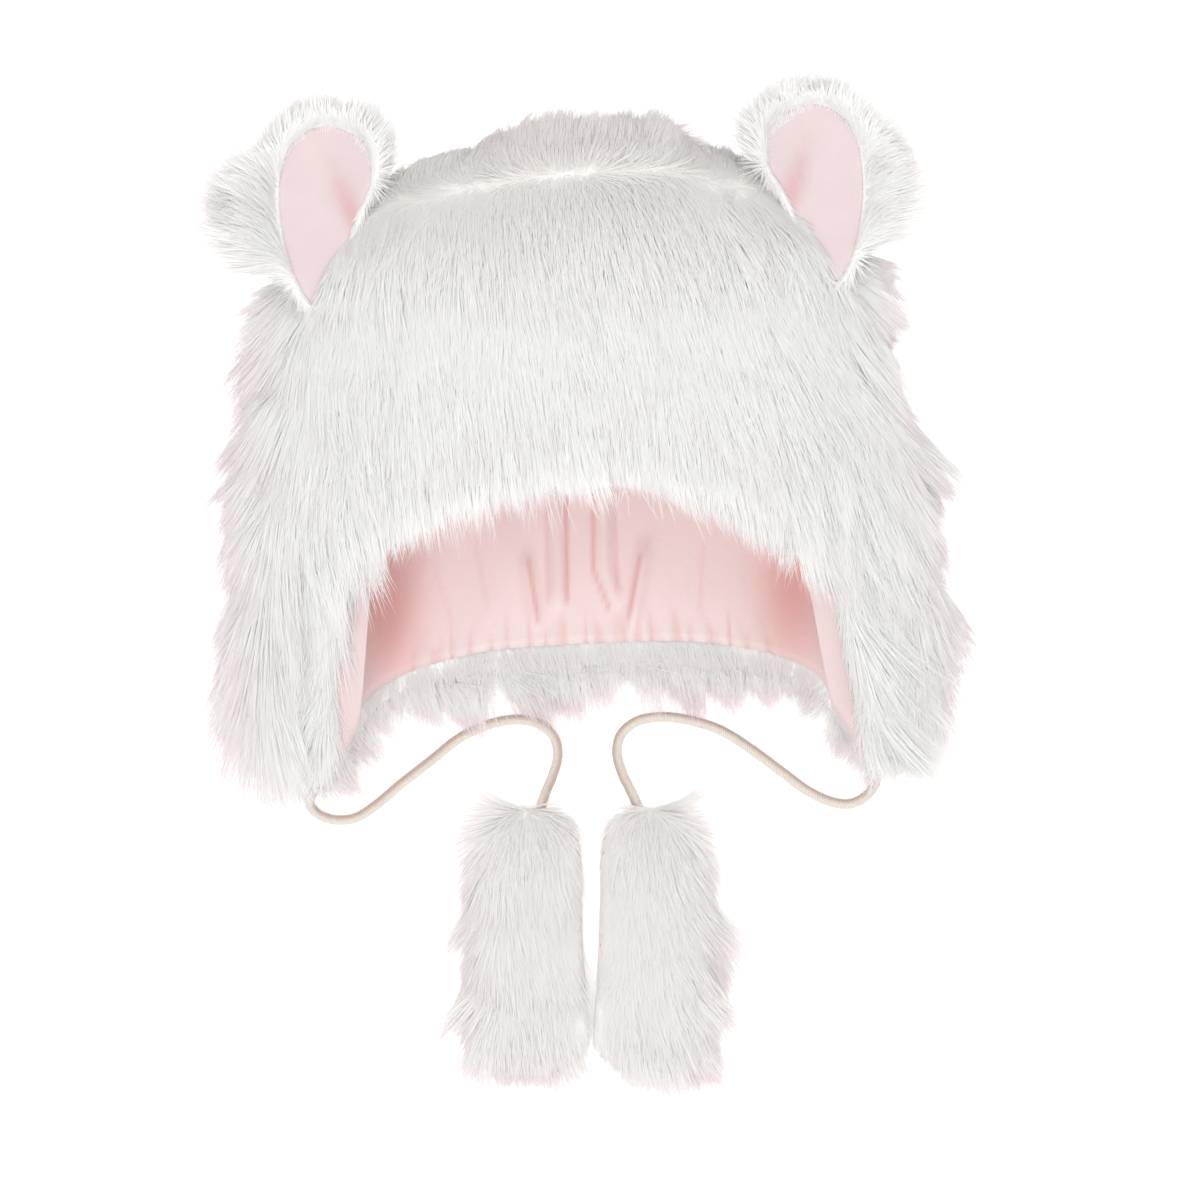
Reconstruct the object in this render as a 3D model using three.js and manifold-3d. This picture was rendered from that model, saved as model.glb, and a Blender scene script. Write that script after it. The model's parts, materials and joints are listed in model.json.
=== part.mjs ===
// A white plush hat with cat ears and ear flaps, lying on its back as on a table.
// The face opening looks up (+Z), the crown points to +Y, the flaps, cords and tassels to -Y.
// Millimetres. The surface that it lies on is z = 0, and the origin is under the middle of the hat.

import * as THREE from 'three';
import { mergeVertices } from 'three/addons/utils/BufferGeometryUtils.js';
import Module from 'manifold-3d';

const wasm = await Module();
wasm.setup();

// Hat: sizes of the backing cloth, without its pile
const hatWidth = 274;
const hatLength = 262;
const hatDepth = 114;
const crownTop = 126;
const crownMiddle = 56;
const domeLength = 63;

// Cloth, pile and lining
const clothWall = 2;
const pileDepth = 10;
const clothRise = 8;
const liningWall = 2;
const gap = 0.35;
const lockLength = 26;
const lockWidth = 16;
const lockThickness = 4.5;
const lockRoot = 5;
const lockRoom = 12;
const lockCordGap = 2.5;
const lockSink = 1;

// Ears
const earPanelWidth = 39;
const earPanelHeight = 75;
const earPanelWall = 2;
const earPlace = { across: 0.372, along: 0.0955, high: 0.807 };
const earMiddle = {
  x: earPlace.across * hatWidth,
  y: crownTop - earPlace.along * hatLength,
  z: earPlace.high * hatDepth,
};
const earTilt = 0.16;
const earCup = 5;
const earRim = 7;
const earPile = 7;
const earThickness = 24;
const earSeatGap = 0.5;
const earLockSink = 2;
const earLockDrop = 9;
const earLockSpread = 3;

// Cords and tassels
const cordDiameter = 4.3;
const cordSides = 8;
const cordSteps = 26;
const cordInTassel = 50;
const cordHeightInTassel = 10.5;
const tasselWidth = 45;
const tasselLength = 110;
const tasselDepth = 25;
const tasselEntryHeight = 9;

// Sections of the hat behind its dome: share of the length from the crown's top, share of the full
// width, and share of the depth that the front stands above the nape
const sections = [
  { along: 0.24, width: 0.855, depth: 0.95 },
  { along: 0.4, width: 0.895, depth: 1.0 },
  { along: 0.48, width: 0.936, depth: 1.0 },
  { along: 0.56, width: 0.966, depth: 0.97 },
  { along: 0.64, width: 0.977, depth: 0.89 },
  { along: 0.72, width: 0.988, depth: 0.77 },
  { along: 0.8, width: 1.0, depth: 0.62 },
  { along: 0.88, width: 0.988, depth: 0.46 },
  { along: 0.96, width: 0.93, depth: 0.28 },
  { along: 1.0, width: 0.87, depth: 0.19 },
];
const domeSquareness = { width: 2.15, depth: 2.3 };
const frontRoundness = 2.3;
const napeRoundness = 3.5;

// The front edge, from the middle of the brow (across 0) to the side of a flap (across 1): where the
// plush ends and where the lining ends, as shares of the hat's length
const frontEdge = [
  { across: 0.0, plush: 0.541, lining: 0.545 },
  { across: 0.16, plush: 0.543, lining: 0.547 },
  { across: 0.333, plush: 0.555, lining: 0.559 },
  { across: 0.444, plush: 0.573, lining: 0.577 },
  { across: 0.569, plush: 0.605, lining: 0.61 },
  { across: 0.665, plush: 0.645, lining: 0.653 },
  { across: 0.7, plush: 0.667, lining: 0.82 },
  { across: 0.747, plush: 0.704, lining: 0.905 },
  { across: 0.78, plush: 0.784, lining: 0.925 },
  { across: 0.82, plush: 0.88, lining: 0.947 },
  { across: 0.868, plush: 0.944, lining: 0.968 },
  { across: 0.93, plush: 0.978, lining: 0.985 },
  { across: 0.98, plush: 0.986, lining: 0.99 },
  { across: 1.0, plush: 0.99, lining: 0.994 },
];

// The nape edge in the same way. Here the plush runs on past the lining
const napeEdge = [
  { across: 0.0, lining: 0.792, plush: 0.827 },
  { across: 0.307, lining: 0.797, plush: 0.83 },
  { across: 0.46, lining: 0.81, plush: 0.84 },
  { across: 0.583, lining: 0.827, plush: 0.853 },
  { across: 0.706, lining: 0.861, plush: 0.885 },
  { across: 0.77, lining: 0.904, plush: 0.922 },
  { across: 0.844, lining: 0.947, plush: 0.958 },
  { across: 0.942, lining: 0.984, plush: 0.99 },
  { across: 0.985, lining: 0.99, plush: 0.994 },
  { across: 1.0, lining: 0.99, plush: 0.994 },
];

// Rows of the walls: shares of the length in the crown, then shares of the way on to the edge.
// pile is how much of the full pile stands on that row
const crownRows = [
  { along: 0.012, pile: 1 },
  { along: 0.05, pile: 1 },
  { along: 0.12, pile: 1 },
  { along: 0.24, pile: 1 },
  { along: 0.43, pile: 1 },
];
const edgeRows = [
  { share: 0.35, pile: 1 },
  { share: 0.75, pile: 1 },
  { share: 1.0, pile: 0.75 },
];
const lastRowPile = 0.35;
const shortestLastRow = 0.003;

// Gathers where the elastic draws the lining in at the nape
const gather = { pitch: 8, height: 1.8, reach: 20, halfSpan: 70 };

// Folds that stand up from the back of the lining: place across at the upper and lower end as a share
// of the half-width, ends as shares of the length, width and height as shares of the widest fold's
const foldWidth = 9;
const foldHeight = 3;
const liningFolds = [
  { upper: -0.093, lower: -0.098, from: 0.46, to: 0.72, width: 1, height: 1 },
  { upper: 0.051, lower: 0.075, from: 0.46, to: 0.74, width: 1, height: 1 },
  { upper: -0.2, lower: -0.15, from: 0.6, to: 0.76, width: 0.9, height: 0.6 },
  { upper: 0.18, lower: 0.13, from: 0.6, to: 0.76, width: 0.9, height: 0.6 },
];
const foldFade = 3;

// Outline of an ear's inner panel, clockwise from its top: shares of the panel's width to the outer
// side and of its height upwards, from its middle
const panelOutline = [
  { out: 0.04, up: 0.5 },
  { out: 0.3, up: 0.43 },
  { out: 0.45, up: 0.29 },
  { out: 0.49, up: 0.1 },
  { out: 0.47, up: -0.08 },
  { out: 0.39, up: -0.28 },
  { out: 0.25, up: -0.46 },
  { out: 0.13, up: -0.5 },
  { out: 0.0, up: -0.41 },
  { out: -0.18, up: -0.22 },
  { out: -0.34, up: -0.02 },
  { out: -0.5, up: 0.16 },
  { out: -0.49, up: 0.36 },
  { out: -0.24, up: 0.47 },
];

const panelMidRing = 0.55;
const panelFocus = 0.1;

// Rings of an ear's plush, from the lip round its panel to its back: share of the outline, how much of
// the rim and the pile is added, and the height as a share of the ear's thickness
const earFurRows = [
  { share: 1, rim: 0, pile: 0, lift: 0.12 },
  { share: 1, rim: 1, pile: 0, lift: 0.17 },
  { share: 1, rim: 1, pile: 1, lift: -0.25 },
  { share: 1, rim: 1, pile: 0, lift: -0.83 },
  { share: 0.6, rim: 0, pile: 0, lift: -1 },
];

// Routes of the cords: out of the flap's tip, down to the surface, over in an S and into the tassel
const cordRoutes = {
  left: [
    [-121.5, -138.1, 13], [-124, -142.3, 8.5], [-124.5, -146.5, 4.2], [-120.5, -150.7, 2.5],
    [-114.3, -152.9, 2.2], [-105.6, -152.5, 2.2], [-96.8, -147.7, 2.2], [-85.6, -139.1, 2.2],
    [-72.2, -129.6, 2.2], [-58.8, -120, 2.2], [-45.6, -114.6, 2.2], [-32.6, -113.3, 2.2],
    [-23.6, -115.9, 2.2], [-18, -121.9, 2.2], [-16.9, -129.5, 2.4], [-19.4, -137.8, 4],
    [-23, -145.5, 7.2], [-25.2, -151.5, 9], [-26.5, -158, 9.5],
  ],
  right: [
    [117.5, -137, 13], [119.6, -142.5, 8.5], [119.3, -147.3, 4.6], [115.2, -153, 2.5],
    [108.1, -156.1, 2.2], [100.6, -155, 2.2], [91, -150.3, 2.2], [78.6, -140.4, 2.2],
    [66.1, -130.3, 2.2], [53.5, -121.7, 2.2], [40.7, -117, 2.2], [27.9, -114.9, 2.2],
    [17.4, -116.5, 2.2], [10.6, -121.9, 2.2], [8.6, -129.3, 2.4], [10.3, -138, 4],
    [14, -146.5, 7.2], [16.8, -153.5, 9], [18.6, -160, 9.5],
  ],
};

// Middle of each tassel's top edge, and the way that both lie
const tasselTops = { left: { x: -29.9, y: -151.5 }, right: { x: 22.6, y: -153.8 } };
const tasselTurn = 0.045;

const materials = {
  plush: new THREE.MeshStandardMaterial({ color: 0xf2f0ea, roughness: 0.95, metalness: 0 }),
  lining: new THREE.MeshStandardMaterial({ color: 0xebcfcc, roughness: 0.9, metalness: 0 }),
  earPanel: new THREE.MeshStandardMaterial({ color: 0xefdbdb, roughness: 0.9, metalness: 0 }),
  cord: new THREE.MeshStandardMaterial({ color: 0xece6da, roughness: 0.85, metalness: 0 }),
};

// Small tools

function seededRandom(seed) {
  let state = seed;
  return () => {
    state = (state + 0x6d2b79f5) | 0;
    let t = Math.imul(state ^ (state >>> 15), 1 | state);
    t = (t + Math.imul(t ^ (t >>> 7), 61 | t)) ^ t;
    return ((t ^ (t >>> 14)) >>> 0) / 4294967296;
  };
}

// Straight steps between a table's rows
function lookUp(table, key, column, at) {
  const last = table.length - 1;
  const next = table.findIndex((row) => row[key] >= at);
  if (next === 0) return table[0][column];
  if (next < 0) return table[last][column];
  const a = table[next - 1];
  const b = table[next];
  return a[column] + ((b[column] - a[column]) * (at - a[key])) / (b[key] - a[key]);
}

// A smooth curve through a table's rows
function follow(table, key, column, at) {
  const last = table.length - 1;
  const i = Math.min(Math.max(table.findIndex((row) => row[key] >= at), 1), last);
  const slope = (k) => {
    const a = table[Math.max(k - 1, 0)];
    const b = table[Math.min(k + 1, last)];
    return (b[column] - a[column]) / (b[key] - a[key]);
  };
  const span = table[i][key] - table[i - 1][key];
  const t = Math.min(Math.max((at - table[i - 1][key]) / span, 0), 1);
  return (
    table[i - 1][column] * (1 + 2 * t) * (1 - t) ** 2 + slope(i - 1) * span * t * (1 - t) ** 2 +
    table[i][column] * t * t * (3 - 2 * t) - slope(i) * span * t * t * (1 - t)
  );
}

function bump(distance, width) {
  const share = Math.abs(distance) / (width / 2);
  return share < 1 ? 0.5 + 0.5 * Math.cos(Math.PI * share) : 0;
}

function toSolid(geometry) {
  const bare = geometry.index && !geometry.attributes.normal ? geometry : geometry.clone();
  bare.deleteAttribute('normal');
  bare.deleteAttribute('uv');
  const merged = mergeVertices(bare, 1e-4);
  return new wasm.Manifold(new wasm.Mesh({
    numProp: 3,
    vertProperties: new Float32Array(merged.attributes.position.array),
    triVerts: new Uint32Array(merged.index.array),
  }));
}

function toGeometry(solid) {
  const mesh = solid.getMesh();
  const geometry = new THREE.BufferGeometry();
  geometry.setAttribute('position', new THREE.BufferAttribute(new Float32Array(mesh.vertProperties), 3));
  geometry.setIndex(new THREE.BufferAttribute(new Uint32Array(mesh.triVerts), 1));
  geometry.computeVertexNormals();
  return geometry;
}

function indexed(points, faces) {
  const geometry = new THREE.BufferGeometry();
  const places = points.flatMap((p) => [p.x, p.y, p.z]);
  geometry.setAttribute('position', new THREE.Float32BufferAttribute(places, 3));
  geometry.setIndex(faces.flat());
  return geometry;
}

function largestPiece(solid) {
  const pieces = solid.decompose();
  return pieces.reduce((best, piece) => (piece.volume() > best.volume() ? piece : best));
}

// A closed skin over rings of points, with a point at each end. Each four-sided field is split along
// one diagonal, and along the other one where crossed says so
function skinOverRings(start, rings, end, crossed = () => false) {
  const points = [start, ...rings.flat(), end];
  const n = rings[0].length;
  const at = (ring, i) => 1 + ring * n + (i % n);
  const faces = [];
  for (let i = 0; i < n; i++) {
    faces.push([0, at(0, i + 1), at(0, i)]);
    for (let ring = 1; ring < rings.length; ring++) {
      const [a, b, c, d] = [at(ring - 1, i), at(ring - 1, i + 1), at(ring, i + 1), at(ring, i)];
      faces.push(...(crossed(ring, i) ? [[a, b, d], [b, c, d]] : [[a, c, d], [a, b, c]]));
    }
    faces.push([points.length - 1, at(rings.length - 1, i), at(rings.length - 1, i + 1)]);
  }
  return indexed(points, faces);
}

function slabBelowSurface() {
  const slab = new THREE.BoxGeometry(4 * hatWidth, 4 * hatLength, hatDepth);
  slab.translate(0, 0, -hatDepth / 2);
  return toSolid(slab);
}

// The hat's cloth surface. A column is a place around the hat: across is the share of the half-width
// from the middle, side is -1 (left) or 1, face is 1 on the front and -1 on the nape

function roundEnd(share, squareness) {
  return (1 - (1 - Math.min(share, 1)) ** squareness) ** (1 / squareness);
}

function sectionAt(along) {
  const dome = (along * hatLength) / domeLength;
  const behind = Math.max(along, sections[0].along);
  const rise = roundEnd(dome, domeSquareness.depth);
  const front = clothRise + hatDepth * follow(sections, 'along', 'depth', behind);
  return {
    half: 0.5 * hatWidth * follow(sections, 'along', 'width', behind) * roundEnd(dome, domeSquareness.width),
    front: crownMiddle + (front - crownMiddle) * rise,
    nape: crownMiddle + (clothRise - crownMiddle) * rise,
  };
}

function columnAngle(column) {
  const roundness = column.face > 0 ? frontRoundness : napeRoundness;
  const quarter = Math.acos(Math.min(column.across, 1) ** (roundness / 2));
  const turned = column.side > 0 ? quarter : Math.PI - quarter;
  return column.face * turned;
}

function clothPoint(angle, along) {
  const { half, front, nape } = sectionAt(along);
  const up = Math.sin(angle);
  const out = Math.cos(angle);
  const power = 2 / (up >= 0 ? frontRoundness : napeRoundness);
  return new THREE.Vector3(
    half * Math.sign(out) * Math.abs(out) ** power,
    crownTop - along * hatLength,
    0.5 * (front + nape) + 0.5 * (front - nape) * Math.sign(up) * Math.abs(up) ** power,
  );
}

function clothNormal(angle, along) {
  if (along <= 0) return new THREE.Vector3(0, 1, 0);
  const turn = 0.01;
  const step = Math.min(0.004, along / 2);
  const around = clothPoint(angle + turn, along).sub(clothPoint(angle - turn, along));
  const onward = clothPoint(angle, along + step).sub(clothPoint(angle, along - step));
  return around.cross(onward).normalize();
}

function offsetPoint(angle, along, distance) {
  return clothPoint(angle, along).addScaledVector(clothNormal(angle, along), distance);
}

// Columns run once round the hat: over the front from right to left, and back under the nape
function columnsAround(napeShares) {
  const front = frontEdge.map((row) => row.across);
  const right = front.toReversed().map((across) => ({ across, side: 1, face: 1 }));
  const left = front.slice(1).map((across) => ({ across, side: -1, face: 1 }));
  const napeLeft = napeShares.toReversed().map((across) => ({ across, side: -1, face: -1 }));
  const napeRight = napeShares.slice(1).map((across) => ({ across, side: 1, face: -1 }));
  return [...right, ...left, ...napeLeft, ...napeRight];
}

const edgeTable = (column) => (column.face > 0 ? frontEdge : napeEdge);

// Where both walls still run together
function sharedEdge(column) {
  const table = edgeTable(column);
  const cover = (name) => follow(table, 'across', name, column.across);
  return Math.min(cover('plush'), cover('lining'));
}

function rowsOf(column, layer) {
  const split = crownRows[crownRows.length - 1].along;
  const shared = sharedEdge(column);
  const end = lookUp(edgeTable(column), 'across', layer, column.across);
  return [
    ...crownRows,
    ...edgeRows.map((row) => ({ along: split + (shared - split) * row.share, pile: row.pile })),
    { along: Math.max(end, shared + shortestLastRow), pile: lastRowPile },
  ];
}

// A wall from its outer skin over the edge to its inner skin
function hatWall(columns, layer, outerDistance, innerDistance) {
  const rings = [];
  const rowCount = crownRows.length + edgeRows.length + 1;
  for (let row = 0; row < rowCount; row++) {
    rings.push(columns.map((column) => {
      const { along, pile } = rowsOf(column, layer)[row];
      const angle = columnAngle(column);
      return offsetPoint(angle, along, outerDistance(column, along, pile));
    }));
  }
  for (let row = rowCount - 1; row >= 0; row--) {
    rings.push(columns.map((column) => {
      const { along } = rowsOf(column, layer)[row];
      const angle = columnAngle(column);
      return offsetPoint(angle, along, innerDistance(column, along));
    }));
  }
  const top = (distance) => new THREE.Vector3(0, crownTop + distance, crownMiddle);
  const first = columns[0];
  // Both skins are split the same way, along the slope of the edge
  const crossed = (ring, i) => {
    const towardsSide = columns[(i + 1) % columns.length].across > columns[i].across;
    return towardsSide !== (ring >= rowCount);
  };
  return skinOverRings(top(outerDistance(first, 0, 1)), rings, top(innerDistance(first, 0)), crossed);
}

// A lock of pile: a three-sided spike that starts inside the pile and bends over to its tip. Its knee
// is a share of the way along it, and it narrows from its root to the knee
const lockShape = { knee: 0.4, rootShare: 0.8, kneeShare: 0.9, stand: 0.5 };

function lock({
  root, rootDepth = lockRoot, rootBack = 0, out, comb, stand = lockShape.stand, length, width, thickness,
}) {
  const start = root.clone().addScaledVector(out, -rootDepth).addScaledVector(comb, -rootBack);
  const lift = out.clone().multiplyScalar(stand).add(comb).normalize();
  const lay = out.clone().multiplyScalar(stand / 4).add(comb).normalize();
  const side = new THREE.Vector3().crossVectors(comb, out).normalize();
  const over = new THREE.Vector3().crossVectors(side, lay).normalize();
  const knee = root.clone().addScaledVector(lift, length * lockShape.knee);
  const tip = knee.clone().addScaledVector(lay, length * (1 - lockShape.knee));
  const ring = (middle, share) => [
    middle.clone().addScaledVector(side, (width / 2) * share),
    middle.clone().addScaledVector(over, thickness * share),
    middle.clone().addScaledVector(side, (-width / 2) * share),
  ];
  const points = [...ring(start, lockShape.rootShare), ...ring(knee, lockShape.kneeShare), tip];
  const faces = [[0, 1, 2]];
  for (let i = 0; i < 3; i++) {
    const j = (i + 1) % 3;
    faces.push([i, 3 + j, j], [i, 3 + i, 3 + j], [3 + i, 6, 3 + j]);
  }
  return toSolid(indexed(points, faces));
}

// Columns of the two walls. The lining has one for each crest and valley of its gathers
const plushNapeShares = [0, 0.11, 0.21, 0.307, 0.39, 0.46, 0.583, 0.706, 0.77, 0.844, 0.942];
const gatherStep = gather.pitch / hatWidth;
const gatherCount = Math.round(gather.halfSpan / (gather.pitch / 2));
const liningNapeShares = [
  ...Array.from({ length: gatherCount + 1 }, (_, i) => i * gatherStep),
  ...[0.583, 0.706, 0.77, 0.844, 0.942],
];

function liningRelief(column, along) {
  if (column.face > 0) return 0;
  const across = column.side * column.across;
  const edge = lookUp(napeEdge, 'across', 'lining', column.across);
  const fromEdge = (edge - along) * hatLength;
  let height = 0;
  for (const fold of liningFolds) {
    const share = (along - fold.from) / (fold.to - fold.from);
    if (share < 0 || share > 1) continue;
    const middle = fold.upper + (fold.lower - fold.upper) * share;
    const fade = Math.min(1, foldFade * (1 - share));
    const profile = bump(((across - middle) * hatWidth) / 2, foldWidth * fold.width);
    height = Math.max(height, foldHeight * fold.height * fade * profile);
  }
  if (fromEdge < gather.reach && (column.across * hatWidth) / 2 < gather.halfSpan) {
    const wave = 0.5 + 0.5 * Math.cos((Math.PI * across * hatWidth) / gather.pitch);
    height = Math.max(height, gather.height * wave * (1 - Math.max(fromEdge, 0) / gather.reach));
  }
  return height;
}

function liningGeometry() {
  return hatWall(
    columnsAround(liningNapeShares), 'lining',
    (column, along) => -gap - liningRelief(column, along),
    (column, along) => -gap - liningWall - liningRelief(column, along),
  );
}

// Grown by a clearance, the plush wall cuts the ears
function plushWall(clearance) {
  return toSolid(hatWall(
    columnsAround(plushNapeShares), 'plush',
    (column, along, pile) => clothWall + pileDepth * pile + clearance,
    () => 0,
  ));
}

// Locks over the hat: place as a share of the length, how many round the front, their length as a
// share of a full lock, how steeply they stand, and whether they are combed up (1) or down
const lockRows = [
  { along: 0.02, count: 7, length: 0.6, stand: 0.8, wayDown: 1 },
  { along: 0.14, count: 7, length: 1.1, stand: 0.22, wayDown: -1 },
  { along: 0.25, count: 8, length: 1.2, stand: 0.22, wayDown: -1 },
  { along: 0.35, count: 7, length: 1.2, stand: 0.22, wayDown: -1 },
  { along: 0.45, count: 8, length: 1.2, stand: 0.22, wayDown: -1 },
];
const sideLocks = { count: 7, from: 0.26, to: 0.97, angles: [-0.35, 0.08, 0.55], length: 1.1, stand: 0.9 };
const browLocks = { spacing: 0.12, length: 0.62, stand: 0.5 };
const napeLocks = { spacing: 0.1, until: 0.97, length: 0.75, stand: 0, spread: 0.35, dip: 0.08 };
const sidePile = 0.9;
const browPile = 0.6;
const combSpread = 0.12;

// How far a lock strays from its place in the pattern: round the hat as an angle, along it and across
// it as shares, and how close to the front edge a side lock may start
const stray = { angle: 0.12, sideAngle: 0.2, along: 0.04, across: 0.03 };
const edgeRoom = { side: 0.02, brow: 0.012 };

// A size that differs from lock to lock by up to this share either way
const lockVariety = 0.2;
const varied = (random, size, variety = lockVariety) => size * (1 - variety + 2 * variety * random());

function combDirection(angle, along, wayDown) {
  const out = clothNormal(angle, along);
  const down = new THREE.Vector3(combSpread * Math.cos(angle), wayDown, 0);
  return down.addScaledVector(out, -down.dot(out)).normalize();
}

function lockAt(random, angle, along, pile, { length, stand, wayDown = -1 }) {
  const depth = clothWall + pileDepth * pile - lockSink;
  return {
    root: offsetPoint(angle, along, depth),
    rootDepth: Math.min(lockRoot, depth - clothWall / 2),
    out: clothNormal(angle, along),
    comb: combDirection(angle, along, wayDown),
    stand,
    length: varied(random, lockLength * length),
    width: varied(random, lockWidth),
    thickness: varied(random, lockThickness),
  };
}

// Along the nape the locks leave the hem itself and lie on the surface
function napeLock(random, column) {
  const along = lookUp(napeEdge, 'across', 'plush', column.across);
  return {
    root: offsetPoint(columnAngle(column), along, clothWall),
    rootDepth: clothWall,
    rootBack: lockRoot,
    out: new THREE.Vector3(0, 0, 1),
    comb: new THREE.Vector3(napeLocks.spread * column.side * column.across, -1, -napeLocks.dip).normalize(),
    stand: napeLocks.stand,
    length: varied(random, lockLength * napeLocks.length),
    width: varied(random, lockWidth),
    thickness: lockThickness,
  };
}

function hatLocks() {
  const random = seededRandom(11);
  const jitter = (amount) => amount * (random() - 0.5);
  const locks = [];
  for (const row of lockRows) {
    for (let i = 0; i < row.count; i++) {
      const angle = Math.PI * ((i + 0.5) / row.count) + jitter(stray.angle);
      locks.push(lockAt(random, angle, row.along + jitter(stray.along), 1, row));
    }
  }
  for (const side of [1, -1]) {
    for (const sideAngle of sideLocks.angles) {
      for (let i = 0; i < sideLocks.count; i++) {
        const step = (sideLocks.to - sideLocks.from) / sideLocks.count;
        const along = sideLocks.from + step * (i + 0.5) + jitter(stray.along);
        const angle = (side > 0 ? sideAngle : Math.PI - sideAngle) + jitter(stray.sideAngle);
        const front = { across: Math.abs(Math.cos(angle)) ** (2 / frontRoundness), side, face: 1 };
        if (sideAngle > 0 && along > sharedEdge(front) - edgeRoom.side) continue;
        locks.push(lockAt(random, angle, along, sidePile, sideLocks));
      }
    }
    for (let across = browLocks.spacing / 2; across < 1; across += browLocks.spacing) {
      const column = { across: across + jitter(stray.across), side, face: 1 };
      const along = sharedEdge(column) - edgeRoom.brow;
      locks.push(lockAt(random, columnAngle(column), along, browPile, browLocks));
    }
    for (let across = napeLocks.spacing / 2; across < napeLocks.until; across += napeLocks.spacing) {
      const column = { across: across + jitter(stray.across), side, face: -1 };
      locks.push(napeLock(random, column));
    }
  }
  return locks;
}

// A lock is left out where it would come near an ear or a cord
function clearOfNeighbours({ root, out, comb, stand, length, width }) {
  const tip = root.clone().addScaledVector(comb, length).addScaledVector(out, (length * stand) / 2);
  return [0, 0.5, 1].every((share) => {
    const point = root.clone().lerp(tip, share);
    const inEar = Math.hypot(
      (Math.abs(point.x) - earMiddle.x) / (earPanelWidth / 2 + earRim + earPile + lockRoom),
      (point.y - earMiddle.y) / (earPanelHeight / 2 + earRim + lockRoom),
    ) < 1;
    const reach = cordDiameter / 2 + (width / 2) * (1 - share) + lockCordGap;
    const nearCord = Object.values(cordRoutes).some((route) => {
      const line = new THREE.CatmullRomCurve3(route.map((place) => new THREE.Vector3(...place)));
      return line.getPoints(4 * route.length).some((place) => place.distanceTo(point) < reach);
    });
    return !inEar && !nearCord;
  });
}

function plushGeometry(floorSlab) {
  const locks = hatLocks().filter(clearOfNeighbours).map(lock);
  const whole = wasm.Manifold.union([plushWall(0), ...locks]);
  return toGeometry(largestPiece(whole.subtract(floorSlab)));
}

// Ears. Every layer is the panel's outline, grown and lifted

function earPoint(side, out, up, lift) {
  const cupped = earCup * ((out / earPanelWidth) ** 2 + (up / earPanelHeight) ** 2) * 4;
  return new THREE.Vector3(
    side * (earMiddle.x + out),
    earMiddle.y + up,
    earMiddle.z - earTilt * (up + out) + cupped + lift,
  );
}

// The outline grown outwards by a distance, seen from the outline's middle
function earRing(side, share, growth, lift) {
  const middle = { out: panelFocus * earPanelWidth, up: 0 };
  const ring = panelOutline.map((row) => {
    const out = row.out * earPanelWidth;
    const up = row.up * earPanelHeight;
    const away = new THREE.Vector2(out - middle.out, up - middle.up);
    const reach = away.length();
    away.multiplyScalar((reach * share + growth) / reach);
    return earPoint(side, middle.out + away.x, middle.up + away.y, lift);
  });
  return side > 0 ? ring : ring.toReversed();
}

function earMiddlePoint(side, lift) {
  return earPoint(side, panelFocus * earPanelWidth, 0, lift);
}

function earPanelGeometry(side, grownPlush) {
  const top = earPanelWall / 2;
  const rings = [
    earRing(side, panelMidRing, 0, top),
    earRing(side, 1, 0, top),
    earRing(side, 1, 0, -top),
    earRing(side, panelMidRing, 0, -top),
  ];
  const solid = toSolid(skinOverRings(earMiddlePoint(side, top), rings, earMiddlePoint(side, -top)));
  return toGeometry(largestPiece(solid.subtract(grownPlush)));
}

// Locks round an ear are combed outwards and down, and the higher they sit the shorter they are.
// Towards the crown the ear has none
const earLockShape = {
  rootShare: 0.4, nearCrown: -0.35, side: 0.35, down: -0.55, up: 0.9, back: -0.25, stand: 0.9,
  length: 0.8, shorter: 0.4, width: 0.8,
};

function earLocks(side) {
  const random = seededRandom(side > 0 ? 23 : 29);
  const shape = earLockShape;
  const locks = [];
  const tips = earRing(side, 1, earRim + earPile * shape.rootShare, -earLockSink);
  const middle = earMiddlePoint(side, 0);
  tips.forEach((root, i) => {
    const next = tips[(i + 1) % tips.length];
    const out = root.clone().sub(middle).setZ(0).normalize();
    if (out.x * side < shape.nearCrown) return;
    const upward = Math.max(out.y, 0);
    const comb = new THREE.Vector3(shape.side * side, shape.down + shape.up * upward, shape.back);
    for (const [place, drop] of [[root, earLockSink], [root.clone().lerp(next, 0.5), earLockDrop]]) {
      locks.push(lock({
        root: place.clone().setZ(place.z - drop - earLockSpread * random()),
        out,
        comb: comb.clone().normalize(),
        stand: shape.stand,
        length: varied(random, lockLength * (shape.length - shape.shorter * upward)),
        width: lockWidth * shape.width,
        thickness: lockThickness,
      }));
    }
  });
  return locks;
}

function earFurGeometry(side, grownPlush) {
  const under = -earPanelWall / 2 - earSeatGap;
  const rings = [
    earRing(side, panelMidRing, 0, under),
    earRing(side, 1, 2 * earSeatGap, under),
    ...earFurRows.map((row) => earRing(
      side, row.share, 3 * earSeatGap + row.rim * earRim + row.pile * earPile, row.lift * earThickness,
    )),
  ];
  // The seat is split like the panel that lies on it
  const crossed = (ring) => ring === 1;
  const back = earMiddlePoint(side, earFurRows[earFurRows.length - 1].lift * earThickness);
  const body = toSolid(skinOverRings(earMiddlePoint(side, under), rings, back, crossed));
  const whole = wasm.Manifold.union([body, ...earLocks(side)]);
  return toGeometry(largestPiece(whole.subtract(grownPlush)));
}

// Cords

function cordCurve(name, endGap) {
  const points = cordRoutes[name].map(([x, y, z]) => new THREE.Vector3(x, y, z));
  const end = points[points.length - 1];
  const inward = new THREE.Vector3(-tasselTurn, -1, 0).normalize();
  const beyond = cordInTassel + endGap - (tasselTops[name].y - end.y);
  points.push(end.clone().addScaledVector(inward, beyond / 2).setZ(cordHeightInTassel));
  points.push(end.clone().addScaledVector(inward, beyond).setZ(cordHeightInTassel));
  return new THREE.CatmullRomCurve3(points, false, 'centripetal');
}

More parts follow.
